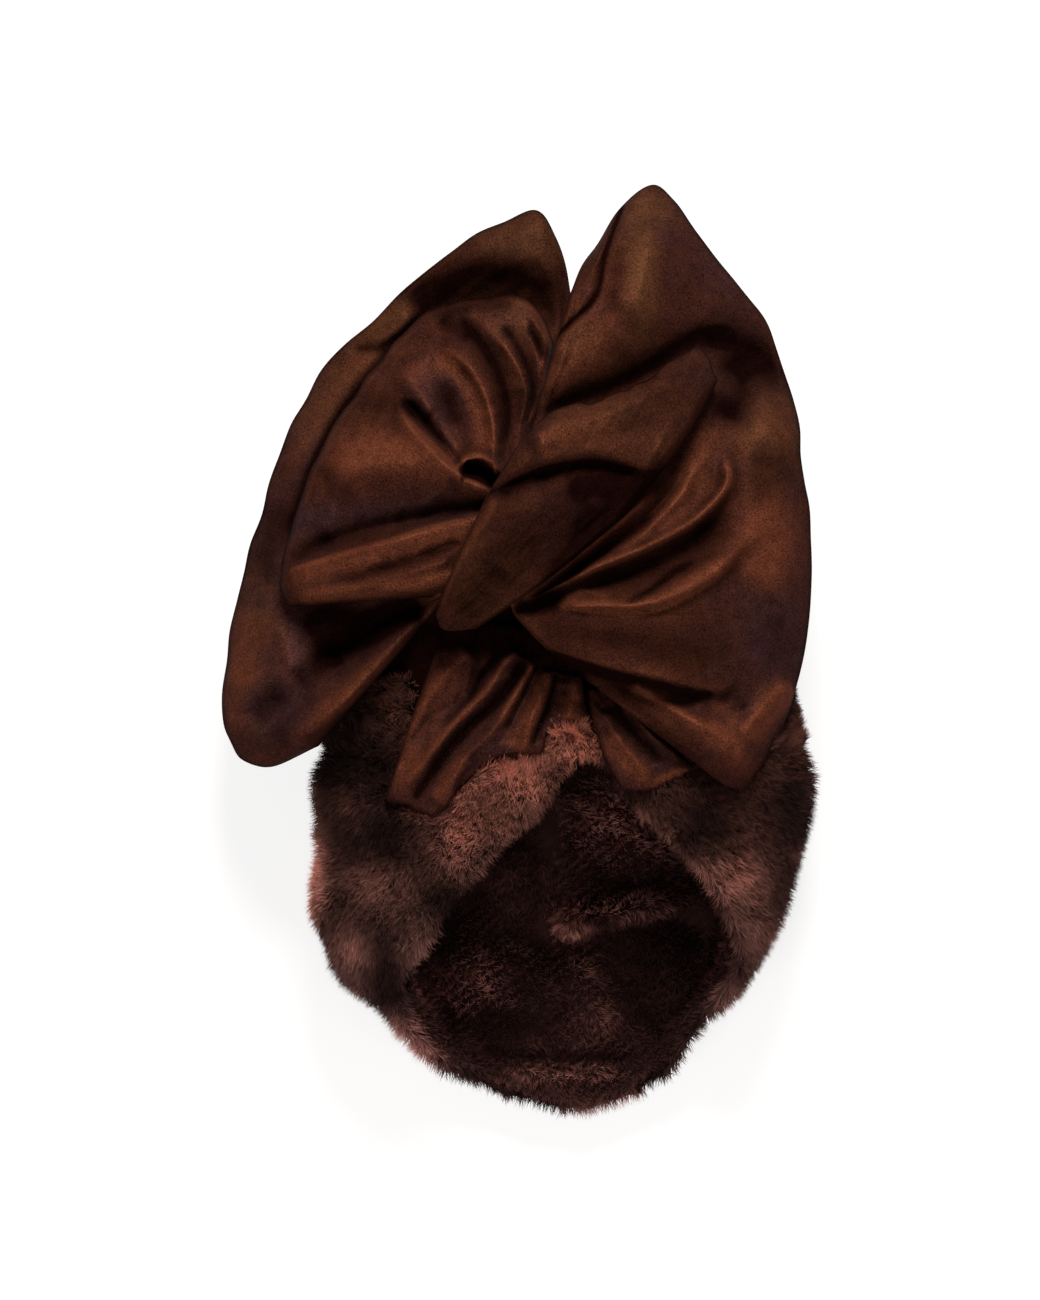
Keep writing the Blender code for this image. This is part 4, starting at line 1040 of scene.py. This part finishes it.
def skin_piece(name, inset, folds, shown, finish, slot, node):
    """The backing of a coat: an even skin, drawn in and a little lumpy, with folds on the side that shows."""
    skin = even_skin(name, node, BACKING_VOXEL, 7)
    places, normals = mesh_arrays(skin.data)
    places[:, :2] += pulled(places)
    lumps = LUMP * waves(places, LUMP_LENGTH, 5)[:, 0]
    folded = MILLIMETRE * drawn_sum(places[:, :2], folds) * shown(places, outwardness(places, normals))
    places += normals * (lumps - inset + folded)[:, None]
    places[:, 2] = np.maximum(places[:, 2], 0.0)
    skin.data.vertices.foreach_set("co", places.ravel())
    skin.data.shade_smooth()
    skin.data.materials.clear()
    skin.data.materials.append(finish)
    # The backing takes the painted shade of the hairs' roots, as it lies under them.
    add_attribute(skin.data, "root", np.full(len(places), 1.0))
    add_attribute(skin.data, "pale", np.zeros(len(places)))
    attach(skin, "root")
    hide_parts(node)
    return skin


def outside(middle, facing):
    """The faces that show from outside, also round the rim, and more of them on top."""
    seen = (outwardness(middle, facing) > -0.1) | (facing[:, 2] > 0.1) | (facing[:, 1] < RIM_TURN)
    off_table = (middle[:, 2] > 0.004) | (facing[:, 2] > -0.5)
    bare = np.clip(patches(middle, UNDER_SATIN), 0, 1)
    return (seen & off_table) * (WALL_COAT + TOP_COAT * np.clip(facing[:, 2], 0, 1)) * (1 - bare)


def outer_face(places, out):
    """The part of the band's face that its bulges move."""
    return np.clip(3 * out, 0, 1)


band_skin = skin_piece("band_backing", BAND_INSET, BAND_BULGES, outer_face, **BAND_COAT)
for part, seed in (("a", 71), ("b", 81)):
    grow_fur(
        f"band_fur_{part}", band_skin, outside, count=BAND_HAIRS, length=BAND_HAIR, width=0.00050,
        comb=(0.1, -0.8, -0.25), lean=0.75, paleness=BAND_BLOTCHES_AND_LIGHT, seed=seed, **BAND_COAT,
    )

# %% [markdown]
# At the hem of the gathers the plush is longer and is brushed up over the satin. Beside the gathers it also
# laps over the seam to the crown, from both sides of it. One coat covers the hem, and two cover the seam.

# %% Tufts over the hem and the seam
HEM_TUFTS = (
    (505, 775, 34, 12, 1.0), (535, 768, 14, 12, 1.0), (476, 806, 12, 10, 1.0), (432, 822, 18, 6, 0.6),
    (572, 735, 24, 8, 1.0), (612, 795, 10, 12, 0.7),
)
HEM_PALE = ((500, 775, 60, 40, 0.9), (572, 740, 30, 20, 0.9), (430, 815, 20, 12, 0.4))
SEAM_SHADE = ((350, 740, 70, 60, -0.1),)
SEAM_SIDES = on_table(((405, 0), (735, 0)))[:, 0]
SEAM_END = -0.014
FUR_END = -0.052
SEAM_FADE = 0.008
SEAM_LOW = 0.006  # above the table


def at_hem(middle, facing):
    """The faces beside the hem of the gathers."""
    return np.clip(patches(middle, HEM_TUFTS), 0, 1) ** 2 * (facing[:, 2] > 0.2)


def beside_bow(middle):
    """1 beside the gathers and the flap, and less and less under them."""
    past = np.maximum(SEAM_SIDES[0] - middle[:, 0], middle[:, 0] - SEAM_SIDES[1])
    return np.clip(1 + past / SEAM_FADE, 0, 1) ** 2


def at_seam(middle, facing):
    """The end of the crown that meets the fur."""
    lapped = (middle[:, 1] < SEAM_END) & (middle[:, 2] > SEAM_LOW)
    return beside_bow(middle) * (lapped & (outwardness(middle, facing) > 0.3))


def at_end(middle, facing):
    """The end of the fur that meets the crown."""
    ends = (middle[:, 1] > FUR_END) & (outwardness(middle, facing) > -0.3) & (middle[:, 2] > SEAM_LOW)
    return beside_bow(middle) * ends


grow_fur(
    "hem_tufts", band_skin, at_hem, count=10000, length=0.0105, width=0.00055,
    comb=(0.15, 0.9, 0.5), lean=1.3, paleness=HEM_PALE, seed=101, **BAND_COAT,
)
grow_fur(
    "end_fur", band_skin, at_end, count=16000, length=0.0095, width=0.00060,
    comb=(-0.1, 0.9, 0.1), lean=1.1, paleness=SEAM_SHADE, seed=121, **BAND_COAT,
)
grow_fur(
    "seam_fur", crown, at_seam, count=32000, length=0.0070, width=0.00060,
    comb=(0.1, -0.5, -0.1), lean=0.7, paleness=SEAM_SHADE, seed=111, **BAND_COAT,
)

# %% [markdown]
# The lining is a darker, shorter plush inside the cap. Its hairs grow only where the opening shows them, and
# thin out towards the bow, where it is black inside. Soft folds are pressed into the lower wall.

# %% Fur lining
LINING_INSET = 0.0012
ROOF_COAT = 0.5  # hair on the wall above, which shows less
LINING_HAIRS = 108000
LINING_HAIR = 0.0043
LINING_FOLDS = (
    (9, 9, 3, 0.1, 0.3, (552, 930, 585, 926, 640, 912, 705, 898)),
    (-3, 6, 6, 0.1, 0.2, (556, 800, 550, 870, 546, 1000)),
    (6, 8, 8, 0.2, 0.2, (575, 955, 590, 1000, 605, 1035)),
    (-3, 6, 6, 0.2, 0.2, (440, 1045, 520, 1056, 600, 1056, 680, 1045)),
    (6, 3, 3, 0.2, 0.2, (490, 1062, 560, 1078, 635, 1064)),
)
# The lining's blotches, with a painted highlight on the crest of the lower lip and painted shade deep inside
# the cap.
LINING_SPOTS_AND_LIGHT = (
    (566, 922, 15, 13, 3.0), (620, 908, 50, 10, 0.6), (612, 828, 50, 40, 0.75), (606, 806, 16, 22, 0.3),
    (598, 1020, 20, 20, 0.4), (592, 1016, 6, 8, -0.3), (588, 980, 14, 26, 0.25), (458, 985, 34, 24, 1.4),
    (520, 960, 50, 80, 0.08), (537, 870, 4, 60, -0.4), (572, 860, 26, 60, 0.06), (570, 1074, 48, 7, 0.8),
    (600, 1046, 40, 4, 0.2), (685, 970, 44, 60, -0.5), (500, 1022, 50, 14, -0.3), (500, 840, 60, 30, -0.12),
    (575, 1058, 60, 5, -0.15),
)


def lower_wall(places, out):
    """The part of the lining's inner face that shows through the opening."""
    return np.clip(-3 * out, 0, 1) * np.clip((CAP_AXIS[1] - places[:, 2]) / 0.02, 0, 1)


def inside(middle, facing):
    """The faces that show through the opening."""
    seen = (outwardness(middle, facing) < 0.3) | (facing[:, 1] < RIM_TURN)
    near = np.clip(1.4 - (middle[:, 1] + 0.10) / 0.12, 0.0, 1.0)
    return seen * near * np.where(facing[:, 2] > 0, 1.0, ROOF_COAT)


lining_skin = skin_piece("lining_backing", LINING_INSET, LINING_FOLDS, lower_wall, **LINING_COAT)
grow_fur(
    "lining_fur", lining_skin, inside, count=LINING_HAIRS, length=LINING_HAIR, width=0.00050,
    comb=(0.1, -0.6, 0.2), lean=0.8, paleness=LINING_SPOTS_AND_LIGHT, seed=91, **LINING_COAT,
)

# %% [markdown]
# At the end the triangles of all the dressed pieces are counted and printed.

# %% Triangles, and the end
dressed = [item for item in bpy.data.objects if item.type == "MESH" and item.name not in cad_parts]
print("triangles:", sum(len(face.vertices) - 2 for item in dressed for face in item.data.polygons))
